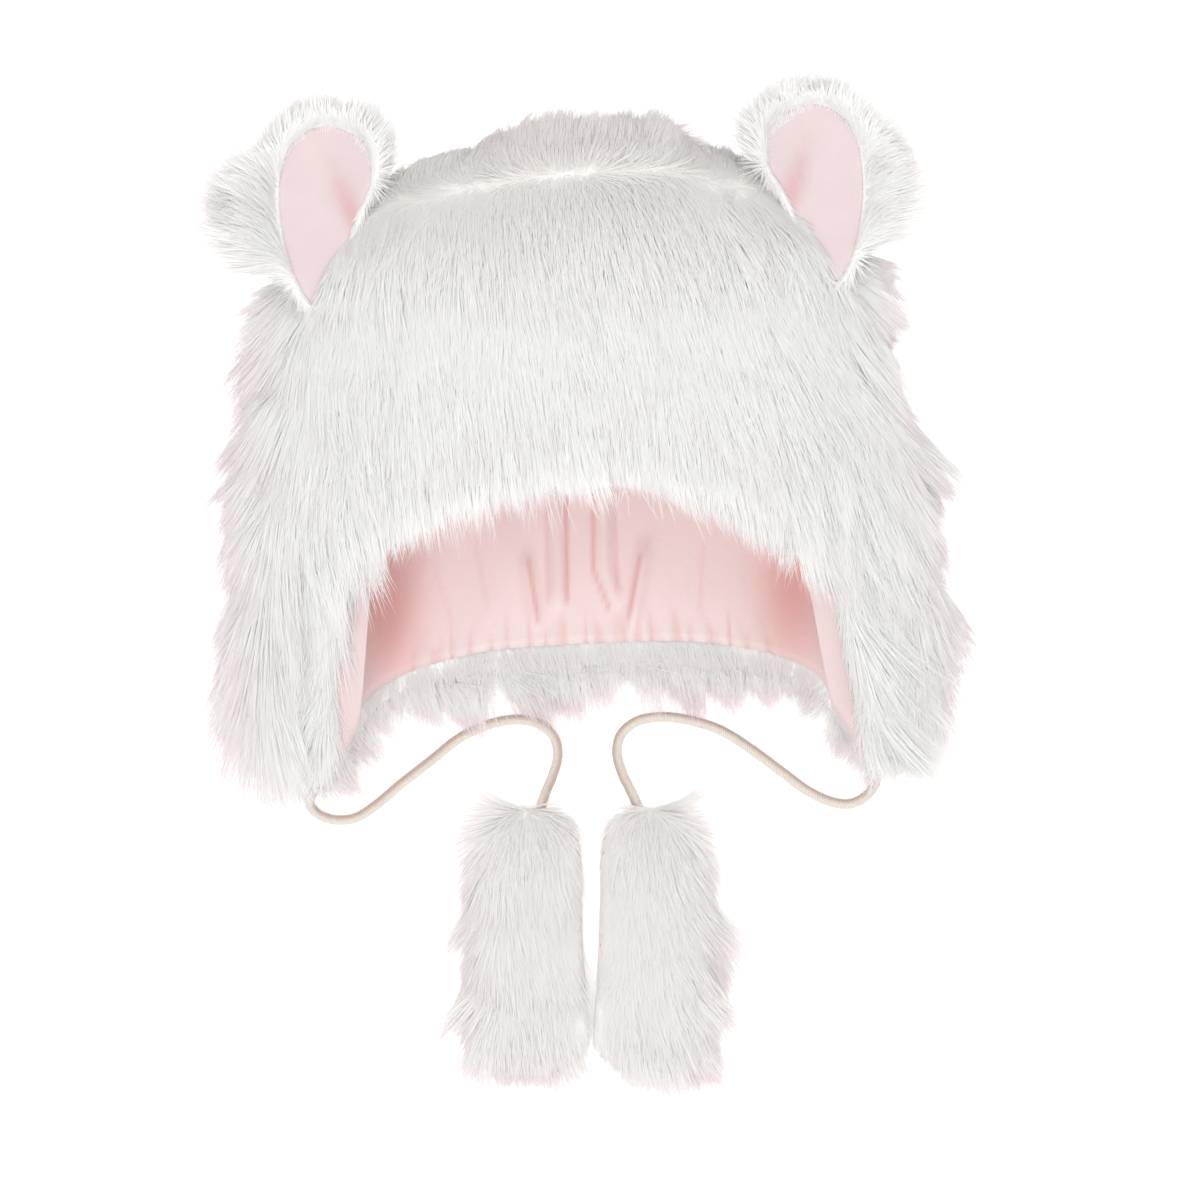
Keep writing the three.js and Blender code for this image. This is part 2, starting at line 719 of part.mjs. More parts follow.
function cordGeometry(name, clearance) {
  const radius = cordDiameter / 2 + clearance;
  const section = new THREE.Shape(Array.from({ length: cordSides }, (_, i) => {
    const angle = ((i + 0.5) / cordSides) * 2 * Math.PI;
    return new THREE.Vector2(radius * Math.cos(angle), radius * Math.sin(angle));
  }));
  const extrudePath = cordCurve(name, clearance);
  return new THREE.ExtrudeGeometry(section, { steps: cordSteps, extrudePath, bevelEnabled: false });
}

// Tassels: a flat pouch that narrows to its top, with its pile combed to the bottom

const tasselRows = [
  { along: 0.015, width: 0.5, depth: 0.3 },
  { along: 0.08, width: 0.74, depth: 0.66 },
  { along: 0.2, width: 0.94, depth: 0.92 },
  { along: 0.5, width: 0.98, depth: 1 },
  { along: 0.82, width: 1, depth: 0.94 },
  { along: 0.96, width: 0.93, depth: 0.66 },
  { along: 1, width: 0.82, depth: 0.36 },
];
const tasselSectionSides = 14;
const tasselRoundness = 2.6;

// Locks of a tassel: along its outer edge, along its bottom and over its face. Places are shares of its
// length, width and depth, and the spread is how far they stray from there
const tasselLockRows = {
  edge: { count: 6, along: 0.1, step: 0.15, stray: 0.04, across: 0.44, high: 0.35, spread: 0.3, size: 0.6 },
  bottom: { count: 5, along: 0.95, across: -0.38, step: 0.19, high: 0.25, spread: 0.3, size: 0.55 },
  face: { count: 3, along: 0.22, step: 0.25, stray: 0.05, across: 0.2, high: 0.9, size: 0.75 },
};
const tasselLockShare = { width: 0.75, thickness: 0.8 };

function tasselPoint(name, along, across, height) {
  const top = tasselTops[name];
  return new THREE.Vector3(
    top.x + across - tasselTurn * along,
    top.y - along - tasselTurn * across,
    height,
  );
}

function tasselLocks(name) {
  const random = seededRandom(name === 'left' ? 41 : 47);
  const outward = name === 'left' ? -1 : 1;
  const down = new THREE.Vector3(-tasselTurn, -1, 0).normalize();
  const locks = [];
  const push = (along, across, high, out, size) => locks.push(lock({
    root: tasselPoint(name, along * tasselLength, across * tasselWidth, high * tasselDepth),
    out,
    comb: down,
    length: varied(random, lockLength * size),
    width: lockWidth * tasselLockShare.width,
    thickness: lockThickness * tasselLockShare.thickness,
  }));
  const { edge, bottom, face } = tasselLockRows;
  const up = new THREE.Vector3(0, 0, 1);
  for (let i = 0; i < edge.count; i++) {
    const along = edge.along + edge.step * i + edge.stray * random();
    const high = edge.high + edge.spread * random();
    push(along, edge.across * outward, high, new THREE.Vector3(outward, 0, 0), edge.size);
  }
  for (let i = 0; i < bottom.count; i++) {
    const high = bottom.high + bottom.spread * random();
    push(bottom.along, bottom.across + bottom.step * i, high, up, bottom.size);
  }
  for (let i = 0; i < face.count; i++) {
    for (const side of [-1, 1]) {
      const along = face.along + face.step * i + face.stray * random();
      push(along, face.across * side, face.high, up, face.size);
    }
  }
  return locks;
}

function tasselGeometry(name, floorSlab) {
  const rings = tasselRows.map((row) => Array.from({ length: tasselSectionSides }, (_, i) => {
    const angle = (2 * Math.PI * i) / tasselSectionSides;
    const round = (value) => Math.sign(value) * Math.abs(value) ** (2 / tasselRoundness);
    const across = 0.5 * tasselWidth * row.width * round(Math.cos(angle));
    const middle = tasselEntryHeight + (tasselDepth / 2 - tasselEntryHeight) * row.depth;
    const height = middle + 0.5 * tasselDepth * row.depth * round(Math.sin(angle));
    return tasselPoint(name, row.along * tasselLength, across, height);
  }));
  const top = tasselPoint(name, 0, 0, tasselEntryHeight);
  const bottom = tasselPoint(name, tasselLength, 0, tasselEntryHeight);
  const pouch = toSolid(skinOverRings(top, rings, bottom));
  const whole = wasm.Manifold.union([pouch, ...tasselLocks(name)]);
  const channel = toSolid(cordGeometry(name, gap));
  return toGeometry(largestPiece(whole.subtract(channel).subtract(floorSlab)));
}

// The whole hat

const floorSlab = slabBelowSurface();
const grownPlush = plushWall(gap);

function piece(name, geometry, material) {
  const mesh = new THREE.Mesh(geometry, material);
  mesh.name = name;
  return mesh;
}

const hat = new THREE.Group();
hat.add(piece('fur_shell', plushGeometry(floorSlab), materials.plush));
hat.add(piece('lining', liningGeometry(), materials.lining));
for (const [name, side] of [['left', -1], ['right', 1]]) {
  hat.add(piece(`${name}_ear_fur`, earFurGeometry(side, grownPlush), materials.plush));
  hat.add(piece(`${name}_ear_panel`, earPanelGeometry(side, grownPlush), materials.earPanel));
}

const middle = new THREE.Box3().setFromObject(hat).getCenter(new THREE.Vector3());

for (const name of ['left', 'right']) {
  hat.add(piece(`${name}_cord`, cordGeometry(name, 0), materials.cord));
  hat.add(piece(`${name}_tassel`, tasselGeometry(name, floorSlab), materials.plush));
}
hat.position.set(-middle.x, -middle.y, 0);

export default hat;
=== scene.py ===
# Plush cat hat with ear flaps, lying on its back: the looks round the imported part.
# Blender 4.5, metres, +Z up out of the face opening, +Y towards the ears.

import json
import math

import bpy
import numpy as np
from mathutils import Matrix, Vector

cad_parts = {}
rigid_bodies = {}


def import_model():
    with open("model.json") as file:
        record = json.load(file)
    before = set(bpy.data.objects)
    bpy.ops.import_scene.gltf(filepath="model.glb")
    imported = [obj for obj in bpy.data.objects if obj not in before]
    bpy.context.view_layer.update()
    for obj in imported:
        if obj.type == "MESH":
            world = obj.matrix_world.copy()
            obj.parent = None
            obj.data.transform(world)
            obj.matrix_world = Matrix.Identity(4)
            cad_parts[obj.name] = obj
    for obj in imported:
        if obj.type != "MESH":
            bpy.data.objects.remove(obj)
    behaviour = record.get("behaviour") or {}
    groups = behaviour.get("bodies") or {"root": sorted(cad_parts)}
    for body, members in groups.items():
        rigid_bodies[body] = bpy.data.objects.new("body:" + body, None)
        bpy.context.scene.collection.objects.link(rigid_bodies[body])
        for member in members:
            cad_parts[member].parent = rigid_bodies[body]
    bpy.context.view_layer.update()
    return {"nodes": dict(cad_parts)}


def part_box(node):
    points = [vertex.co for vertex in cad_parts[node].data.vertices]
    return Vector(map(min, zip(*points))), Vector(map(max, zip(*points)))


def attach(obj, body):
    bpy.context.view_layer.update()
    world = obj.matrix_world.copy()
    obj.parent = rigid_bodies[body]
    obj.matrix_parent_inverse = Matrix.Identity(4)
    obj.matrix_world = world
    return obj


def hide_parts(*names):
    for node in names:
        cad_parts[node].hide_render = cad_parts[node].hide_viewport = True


for spare in list(bpy.data.objects):   # the starting file's own cube, lamp and camera
    bpy.data.objects.remove(spare)
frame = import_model()
print("frame loaded:", len(frame["nodes"]), "nodes")


# Small tools

def addNode(tree, kind, settings=None, inputs=None):
    node = tree.nodes.new(kind)
    for name, value in (settings or {}).items():
        setattr(node, name, value)
    for name, value in (inputs or {}).items():
        if isinstance(value, bpy.types.NodeSocket):
            tree.links.new(value, node.inputs[name])
        else:
            node.inputs[name].default_value = value
    return node


def hexColour(code):
    parts = [int(code[i:i + 2], 16) / 255 for i in (1, 3, 5)]
    linear = [c / 12.92 if c <= 0.04045 else ((c + 0.055) / 1.055) ** 2.4 for c in parts]
    return (*linear, 1.0)


def newMaterial(name):
    material = bpy.data.materials.new(name)
    material.use_nodes = True
    material.node_tree.nodes.clear()
    return material, material.node_tree


def meshObject(name, points, faces, material=None, smooth=True):
    mesh = bpy.data.meshes.new(name)
    mesh.from_pydata([tuple(p) for p in points], [], [tuple(f) for f in faces])
    mesh.update()
    if smooth:
        mesh.polygons.foreach_set("use_smooth", np.ones(len(mesh.polygons), bool))
    thing = bpy.data.objects.new(name, mesh)
    bpy.context.scene.collection.objects.link(thing)
    if material:
        mesh.materials.append(material)
    return thing


def storeOnPoints(thing, name, values):
    values = np.asarray(values, np.float32)
    kind = "FLOAT_VECTOR" if values.ndim == 2 else "FLOAT"
    attribute = thing.data.attributes.new(name, kind, "POINT")
    attribute.data.foreach_set("vector" if values.ndim == 2 else "value", values.ravel())


def unit(vectors):
    return vectors / np.maximum(np.linalg.norm(vectors, axis=-1, keepdims=True), 1e-12)


def smoothStep(low, high, value):
    t = np.clip((value - low) / (high - low), 0, 1)
    return t * t * (3 - 2 * t)


def throughTable(table, key, column, at):   # a smooth curve through a table's rows
    xs, ys = np.array(table[key], float), np.array(table[column], float)
    last = len(xs) - 1
    i = np.clip(np.searchsorted(xs, at, side="left"), 1, last)
    before, after = np.maximum(np.arange(last + 1) - 1, 0), np.minimum(np.arange(last + 1) + 1, last)
    slope = (ys[after] - ys[before]) / (xs[after] - xs[before])
    span = xs[i] - xs[i - 1]
    t = np.clip((at - xs[i - 1]) / span, 0, 1)
    return (ys[i - 1] * (1 + 2 * t) * (1 - t) ** 2 + slope[i - 1] * span * t * (1 - t) ** 2
            + ys[i] * t * t * (3 - 2 * t) - slope[i] * span * t * t * (1 - t))


# The hat's cloth surface, as in the part: sizes in metres, tables as shares of them

hat = dict(
    width=0.274, length=0.262, depth=0.114, crownTop=0.126, crownMiddle=0.056, domeLength=0.063,
    domeSquareness=(2.15, 2.3), frontRoundness=2.3, napeRoundness=3.5, clothRise=0.008,
    liningGap=0.00035, liningWall=0.002, fineAngles=4001, measuredAt=0.6, rowCrowding=(1.3, 0.9),
)
sections = dict(
    along=[0.24, 0.4, 0.48, 0.56, 0.64, 0.72, 0.8, 0.88, 0.96, 1.0],
    width=[0.855, 0.895, 0.936, 0.966, 0.977, 0.988, 1.0, 0.988, 0.93, 0.87],
    depth=[0.95, 1.0, 1.0, 0.97, 0.89, 0.77, 0.62, 0.46, 0.28, 0.19],
)
frontEdge = dict(
    across=[0, 0.16, 0.333, 0.444, 0.569, 0.665, 0.7, 0.747, 0.78, 0.82, 0.868, 0.93, 0.98, 1.0],
    plush=[0.541, 0.543, 0.555, 0.573, 0.605, 0.645, 0.667, 0.704, 0.784, 0.88, 0.944, 0.978, 0.986, 0.99],
    lining=[0.545, 0.547, 0.559, 0.577, 0.61, 0.653, 0.82, 0.905, 0.925, 0.947, 0.968, 0.985, 0.99, 0.994],
)
napeEdge = dict(
    across=[0, 0.307, 0.46, 0.583, 0.706, 0.77, 0.844, 0.942, 0.985, 1.0],
    lining=[0.792, 0.797, 0.81, 0.827, 0.861, 0.904, 0.947, 0.984, 0.99, 0.99],
    plush=[0.827, 0.83, 0.84, 0.853, 0.885, 0.922, 0.958, 0.99, 0.994, 0.994],
)
liningLow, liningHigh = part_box("lining")
hatPlace = np.array([(liningLow.x + liningHigh.x) / 2, liningHigh.y - hat["crownTop"] + hat["liningGap"], 0])


def roundEnd(share, squareness):
    return (1 - (1 - np.minimum(share, 1)) ** squareness) ** (1 / squareness)


def clothPoint(angle, along):   # angle runs round the hat from its right side, over the front
    dome = np.maximum(along, 0) * hat["length"] / hat["domeLength"]
    behind = np.maximum(along, sections["along"][0])
    rise = roundEnd(dome, hat["domeSquareness"][1])
    full = hat["clothRise"] + hat["depth"] * throughTable(sections, "along", "depth", behind)
    front = hat["crownMiddle"] + (full - hat["crownMiddle"]) * rise
    nape = hat["crownMiddle"] + (hat["clothRise"] - hat["crownMiddle"]) * rise
    half = (0.5 * hat["width"] * throughTable(sections, "along", "width", behind)
            * roundEnd(dome, hat["domeSquareness"][0]))
    up, out = np.sin(angle), np.cos(angle)
    power = 2 / np.where(up >= 0, hat["frontRoundness"], hat["napeRoundness"])
    x = half * np.sign(out) * np.abs(out) ** power
    y = hat["crownTop"] - along * hat["length"]
    z = 0.5 * (front + nape) + 0.5 * (front - nape) * np.sign(up) * np.abs(up) ** power
    return np.stack([x, y, z], -1)


def clothFrame(angle, along):   # point, outward normal and the direction onward to the edge
    turn, step = 0.01, np.minimum(0.004, np.maximum(along, 1e-4) / 2)
    around = clothPoint(angle + turn, along) - clothPoint(angle - turn, along)
    onward = clothPoint(angle, along + step) - clothPoint(angle, along - step)
    return clothPoint(angle, along), unit(np.cross(around, onward)), unit(onward)


def acrossOf(angle):
    power = 2 / np.where(np.sin(angle) >= 0, hat["frontRoundness"], hat["napeRoundness"])
    return np.abs(np.cos(angle)) ** power


def edgeOf(angle, layer):
    across = acrossOf(angle)
    front = throughTable(frontEdge, "across", layer, across)
    nape = throughTable(napeEdge, "across", layer, across)
    return np.where(np.sin(angle) >= 0, front, nape)


def evenAngles(low, high, count):   # angles at even distances round a middle section
    fine = np.linspace(low, high, hat["fineAngles"])
    points = clothPoint(fine, np.full(fine.shape, hat["measuredAt"]))
    length = np.concatenate([[0], np.cumsum(np.linalg.norm(np.diff(points, axis=0), axis=1))])
    return np.interp(np.linspace(0, length[-1], count + 1), length, fine)[:-1]


def gridFaces(rows, columns):
    row, column = np.meshgrid(np.arange(rows - 1), np.arange(columns), indexing="ij")
    a = row * columns + column
    b = row * columns + (column + 1) % columns
    return np.stack([a, b, b + columns, a + columns], -1).reshape(-1, 4)


def loft(rings, start, end, turned=False):   # a closed skin over rings of points, with a point at each end
    columns = len(rings[0])
    points = np.vstack([*rings, start[None], end[None]])
    faces = [tuple(f) for f in gridFaces(len(rings), columns)]
    first, last, tail = len(rings) * columns, len(rings) * columns + 1, (len(rings) - 1) * columns
    for i in range(columns):
        j = (i + 1) % columns
        faces += [(first, j, i), (last, tail + i, tail + j)]
    if turned:
        faces = [f[::-1] for f in faces]
    return points, faces


# Camera, as the photo sees the hat: from straight above, with the hat turned a little

camera = dict(overX=0.0043, overY=-0.0633, height=2.335, subjectHeight=0.065, frameWidth=0.504,
              turnDegrees=2.6, sensor=36, farthest=20)


def makeCamera():
    lens = bpy.data.cameras.new("camera")
    distance = camera["height"] - camera["subjectHeight"]
    lens.sensor_width = camera["sensor"]
    lens.lens = camera["sensor"] * distance / camera["frameWidth"]
    lens.clip_end = camera["farthest"]
    eye = bpy.data.objects.new("camera", lens)
    bpy.context.scene.collection.objects.link(eye)
    eye.location = Vector((camera["overX"] + hatPlace[0], camera["overY"] + hatPlace[1], camera["height"]))
    eye.rotation_euler = (0, 0, -math.radians(camera["turnDegrees"]))
    bpy.context.scene.camera = eye


makeCamera()
print("camera placed")


# Cords: soft knitted cord, out of each flap's tip, over the surface and into the tassel

cord = dict(
    diameter=0.0043, inTassel=0.05, insideHeight=0.0105, sides=16, stepLength=0.0012, ribDepth=0.00016,
    endShare=0.3,
)
tassel = dict(
    width=0.045, length=0.110, depth=0.025, entryHeight=0.009, turn=0.045, roundness=2.6,
    tops=dict(left=(-0.0299, -0.1515), right=(0.0226, -0.1538)), tufts=(0.36, 0.68), fill=0.5,
    columns=44, fibreLength=0.0185, tuftReach=0.05, underFill=0.35,
)
cordRoutes = dict(
    left=[
        (-121.5, -138.1, 13), (-124, -142.3, 8.5), (-124.5, -146.5, 4.2), (-120.5, -150.7, 2.5),
        (-114.3, -152.9, 2.2), (-105.6, -152.5, 2.2), (-96.8, -147.7, 2.2), (-85.6, -139.1, 2.2),
        (-72.2, -129.6, 2.2), (-58.8, -120, 2.2), (-45.6, -114.6, 2.2), (-32.6, -113.3, 2.2),
        (-23.6, -115.9, 2.2), (-18, -121.9, 2.2), (-16.9, -129.5, 2.4), (-19.4, -137.8, 4),
        (-23, -145.5, 7.2), (-25.2, -151.5, 9), (-26.5, -158, 9.5),
    ],
    right=[
        (117.5, -137, 13), (119.6, -142.5, 8.5), (119.3, -147.3, 4.6), (115.2, -153, 2.5),
        (108.1, -156.1, 2.2), (100.6, -155, 2.2), (91, -150.3, 2.2), (78.6, -140.4, 2.2),
        (66.1, -130.3, 2.2), (53.5, -121.7, 2.2), (40.7, -117, 2.2), (27.9, -114.9, 2.2),
        (17.4, -116.5, 2.2), (10.6, -121.9, 2.2), (8.6, -129.3, 2.4), (10.3, -138, 4),
        (14, -146.5, 7.2), (16.8, -153.5, 9), (18.6, -160, 9.5),
    ],
)
mm = 0.001


def smoothRoute(points, step):   # a centripetal curve through the points, at even steps
    points = np.array(points, float)
    points = np.vstack([2 * points[0] - points[1], points, 2 * points[-1] - points[-2]])
    made = []
    for a, b, c, d in zip(points, points[1:], points[2:], points[3:]):
        ta, tb, tc = (math.dist(p, q) ** 0.5 for p, q in ((a, b), (b, c), (c, d)))
        leave = ((b - a) / ta - (c - a) / (ta + tb) + (c - b) / tb) * tb
        arrive = ((c - b) / tb - (d - b) / (tb + tc) + (d - c) / tc) * tb
        t = np.linspace(0, 1, 40, endpoint=False)[:, None]
        made.append(b * (1 + 2 * t) * (1 - t) ** 2 + leave * t * (1 - t) ** 2
                    + c * t * t * (3 - 2 * t) - arrive * t * t * (1 - t))
    line = np.vstack([*made, points[-2][None]])
    length = np.concatenate([[0], np.cumsum(np.linalg.norm(np.diff(line, axis=0), axis=1))])
    at = np.linspace(0, length[-1], round(length[-1] / step) + 1)
    return np.stack([np.interp(at, length, line[:, i]) for i in range(3)], -1), length[-1]


def cordMaterial():   # knitted viscose: fine slanting stitches, so matt and mottled, with painted shade on its sides
    material, tree = newMaterial("knitted viscose cord")
    uv = addNode(tree, "ShaderNodeUVMap", {"uv_map": "cordMap"})
    slant = addNode(tree, "ShaderNodeMapping", None, {"Vector": uv.outputs[0], "Rotation": (0, 0, 0.5)})
    wave = addNode(tree, "ShaderNodeTexWave", {"wave_type": "BANDS", "bands_direction": "Y"},
                   {"Vector": slant.outputs[0], "Scale": 0.32, "Distortion": 1.2, "Detail": 1.0})
    fuzz = addNode(tree, "ShaderNodeTexNoise", None, {"Vector": uv.outputs[0], "Scale": 0.6, "Detail": 3.0})
    tone = addNode(tree, "ShaderNodeMix", {"data_type": "RGBA"}, {
        0: wave.outputs[1], 6: hexColour("#E2D6CB"), 7: hexColour("#F3EEE2")})
    apart = addNode(tree, "ShaderNodeSeparateXYZ", None, {0: uv.outputs[0]})
    fromTop = addNode(tree, "ShaderNodeMath", {"operation": "MULTIPLY"}, {
        0: apart.outputs["X"], 1: 2 * mm / cord["diameter"]})
    toSide = addNode(tree, "ShaderNodeMath", {"operation": "COSINE"}, {0: fromTop.outputs[0]})
    squared = addNode(tree, "ShaderNodeMath", {"operation": "POWER"}, {0: toSide.outputs[0], 1: 4.0})
    # painted shade: the cord's sides darken towards #CDBAAF
    shadedSides = addNode(tree, "ShaderNodeMix", {"data_type": "RGBA"}, {
        0: squared.outputs[0], 6: tone.outputs[2], 7: hexColour("#CDBAAF")})
    mottled = addNode(tree, "ShaderNodeMix", {"data_type": "RGBA", "blend_type": "MULTIPLY"}, {
        0: 0.25, 6: shadedSides.outputs[2], 7: fuzz.outputs[1]})
    bump = addNode(tree, "ShaderNodeBump", None,
                   {"Strength": 0.5, "Distance": cord["ribDepth"], "Height": wave.outputs[1]})
    shader = addNode(tree, "ShaderNodeBsdfPrincipled", None, {
        "Base Color": mottled.outputs[2], "Roughness": 0.85, "Specular IOR Level": 0.2,
        "Sheen Weight": 0.2, "Normal": bump.outputs[0]})
    addNode(tree, "ShaderNodeOutputMaterial", None, {"Surface": shader.outputs[0]})
    return material


def makeCord(side, material):
    route = [tuple(v * mm for v in point) for point in cordRoutes[side]]
    end = np.array(route[-1])
    inward = unit(np.array([-tassel["turn"], -1, 0]))
    beyond = cord["inTassel"] - (tassel["tops"][side][1] - end[1])
    for share in (0.5, 1):
        x, y, _ = end + inward * beyond * share
        route.append((x, y, cord["insideHeight"]))
    line, length = smoothRoute(np.array(route) + hatPlace, cord["stepLength"])
    tangent = unit(np.gradient(line, axis=0))
    across = np.cross(tangent[0], (0, 0, 1))
    rings, radius, n, rows = [], cord["diameter"] / 2, cord["sides"], len(line)
    for place, way in zip(line, tangent):
        across = unit(across - way * (across @ way))
        over = np.cross(across, way)
        turns = [2 * math.pi * i / n for i in range(n)]
        rings.append([place + radius * (math.cos(a) * across + math.sin(a) * over) for a in turns])
    cap = radius * cord["endShare"]
    ends = line[0] - tangent[0] * cap, line[-1] + tangent[-1] * cap
    points, faces = loft(rings, *ends)
    tube = meshObject(side + "Cord", points, faces, material)
    uv = tube.data.uv_layers.new(name="cordMap")
    onRings = n * rows
    for polygon in tube.data.polygons:
        corners = [tube.data.loops[k].vertex_index for k in polygon.loop_indices]
        columns = [v % n for v in corners if v < onRings]
        seam = 0 in columns and n - 1 in columns
        for k, v in zip(polygon.loop_indices, corners):
            u = v % n + (n if seam and v % n == 0 else 0)
            along = (v // n if v < onRings else (0 if v == onRings else rows)) * cord["stepLength"] / mm
            uv.data[k].uv = (u / n * math.pi * cord["diameter"] / mm, along)
    return tube, line, length


knit = cordMaterial()
cords = {side: makeCord(side, knit) for side in ("left", "right")}
print("cords:", [round(length, 4) for _, _, length in cords.values()])


# Pile: ribbons of fibre over a skin, laid along its comb and drawn together into locks

fibreWidths = [(0.0, 1.0), (0.36, 0.95), (0.72, 0.62)]   # share along a fibre, and its width there
fibreHalfWidth = 0.0002
lowestFibre = 0.0004
fibreLight = 0.65   # how much a fibre is lit as the soft surface that all of them make
lengthChances = np.array([[0.9], [0.3], [0]])   # how much each of its three chances changes a fibre's length
floorSpread = 0.0022   # fibres that lie on the floor lie this far over each other


def ribbonTemplate():   # one tapered fibre; along runs from its root to its tip
    points = [(side * wide, along, 0) for along, wide in fibreWidths for side in (-1, 1)] + [(0, 1, 0)]
    faces = [(0, 1, 3, 2), (2, 3, 5, 4), (4, 5, 6)]
    thing = meshObject("fibre", points, faces)
    storeOnPoints(thing, "along", [p[1] for p in points])
    storeOnPoints(thing, "across", [p[0] for p in points])
    return thing


def pileTree():   # fibres at scattered points of the skin, each with its place, chances and locks' middles
    tree = bpy.data.node_groups.new("pile", "GeometryNodeTree")
    face = tree.interface
    face.new_socket("Geometry", in_out="OUTPUT", socket_type="NodeSocketGeometry")
    face.new_socket("Geometry", in_out="INPUT", socket_type="NodeSocketGeometry")
    for name, kind in (
        ("Fibre", "NodeSocketObject"), ("Material", "NodeSocketMaterial"), ("Seed", "NodeSocketInt"),
        ("Density", "NodeSocketFloat"), ("Lock Pitch", "NodeSocketFloat"), ("Tuft Pitch", "NodeSocketFloat"),
    ):
        face.new_socket(name, in_out="INPUT", socket_type=kind)
    given = addNode(tree, "NodeGroupInput").outputs
    fill = addNode(tree, "GeometryNodeInputNamedAttribute", {"data_type": "FLOAT"}, {"Name": "fill"})
    share = addNode(tree, "ShaderNodeMath", {"operation": "MULTIPLY"}, {
        0: given["Density"], 1: fill.outputs[0]})
    scatter = addNode(tree, "GeometryNodeDistributePointsOnFaces", None, {
        "Mesh": given["Geometry"], "Density": share.outputs[0], "Seed": given["Seed"]})
    place = addNode(tree, "GeometryNodeInputPosition").outputs[0]
    chance = addNode(tree, "FunctionNodeRandomValue", {"data_type": "FLOAT_VECTOR"}, {"Seed": given["Seed"]})
    kept = {"rootPlace": place, "rootNormal": scatter.outputs["Normal"], "fibreChance": chance.outputs[0]}
    for name, pitch in (("lock", "Lock Pitch"), ("tuft", "Tuft Pitch")):
        scale = addNode(tree, "ShaderNodeMath", {"operation": "DIVIDE"}, {0: 1.0, 1: given[pitch]})
        cells = addNode(tree, "ShaderNodeTexVoronoi", None, {"Vector": place, "Scale": scale.outputs[0]})
        kept[name + "Centre"] = cells.outputs["Position"]
        kept[name + "Chance"] = cells.outputs["Color"]
    stored = scatter.outputs["Points"]
    for name, field in kept.items():
        stored = addNode(tree, "GeometryNodeStoreNamedAttribute", {"data_type": "FLOAT_VECTOR"}, {
            "Geometry": stored, "Name": name, "Value": field}).outputs[0]
    fibre = addNode(tree, "GeometryNodeObjectInfo", None, {"Object": given["Fibre"]})
    copies = addNode(tree, "GeometryNodeInstanceOnPoints", None, {
        "Points": stored, "Instance": fibre.outputs["Geometry"]})
    real = addNode(tree, "GeometryNodeRealizeInstances", None, {"Geometry": copies.outputs[0]})
    painted = addNode(tree, "GeometryNodeSetMaterial", None, {
        "Geometry": real.outputs[0], "Material": given["Material"]})
    addNode(tree, "NodeGroupOutput", None, {0: painted.outputs[0]})
    return tree


fibreObject = ribbonTemplate()
pileNodes = pileTree()
inputs = [item for item in pileNodes.interface.items_tree if item.in_out == "INPUT"]
identifiers = {item.name: item.identifier for item in inputs}


def readPoints(mesh, name):
    values = mesh.attributes[name]
    size = 3 if values.data_type == "FLOAT_VECTOR" else 1
    flat = np.zeros(len(mesh.vertices) * size, np.float32)
    values.data.foreach_get("vector" if size == 3 else "value", flat)
    return flat.reshape(-1, 3) if size == 3 else flat[:, None]


def layFibres(mesh, laid):   # lean, droop and wander of each fibre, and the pull of its lock and tuft
    up = np.array([0, 0, 1.0])
    root, normal = readPoints(mesh, "rootPlace"), readPoints(mesh, "rootNormal")
    along, stand = readPoints(mesh, "along"), readPoints(mesh, "stand")
    fibre, lock, tuft = (readPoints(mesh, name + "Chance") - 0.5 for name in ("fibre", "lock", "tuft"))
    way = readPoints(mesh, "comb") + fibre * laid["wander"] + (lock + 0.5 * tuft) * laid["lockWander"]
    way = unit(way - normal * (way * normal).sum(1, keepdims=True))
    pick = (fibre + lock) @ lengthChances
    length = readPoints(mesh, "fibreLength") * (1 + pick * laid["lengthSpread"])
    lean = np.sqrt(1 - stand ** 2)
    bend = laid["droop"] * along ** 2
    spot = root + length * (normal * stand * along + way * (lean * along + 0.5 * bend) - up * bend)
    for name, pull in (("lockCentre", laid["lockPull"]), ("tuftCentre", laid["tuftPull"])):
        drawn = readPoints(mesh, name) - root
        drawn = drawn - normal * (drawn * normal).sum(1, keepdims=True)
        spot = spot + drawn * along ** 2 * pull
    direction = normal * stand + way * lean
    side = unit(np.cross(direction, up))
    turn = fibre[:, 2:]
    side = unit(side + np.cross(side, direction) * turn * laid["twist"])
    spot = spot + side * readPoints(mesh, "across") * fibreHalfWidth
    spot[:, 2] = np.maximum(spot[:, 2], laid.get("lowest", lowestFibre) + (turn[:, 0] + 0.5) * floorSpread)
    mesh.vertices.foreach_set("co", spot.astype(np.float32).ravel())
    mesh.update()
    own = np.zeros(len(mesh.vertices) * 3, np.float32)
    mesh.vertex_normals.foreach_get("vector", own)
    own = own.reshape(-1, 3)
    soft = unit(normal * (0.5, 0.5, 0) + np.abs(normal) * (0, 0, 0.5) + up)
    share = np.where((own * soft).sum(1, keepdims=True) > 0, fibreLight, 0)
    mesh.normals_split_custom_set_from_vertices(unit(own * (1 - share) + soft * share))


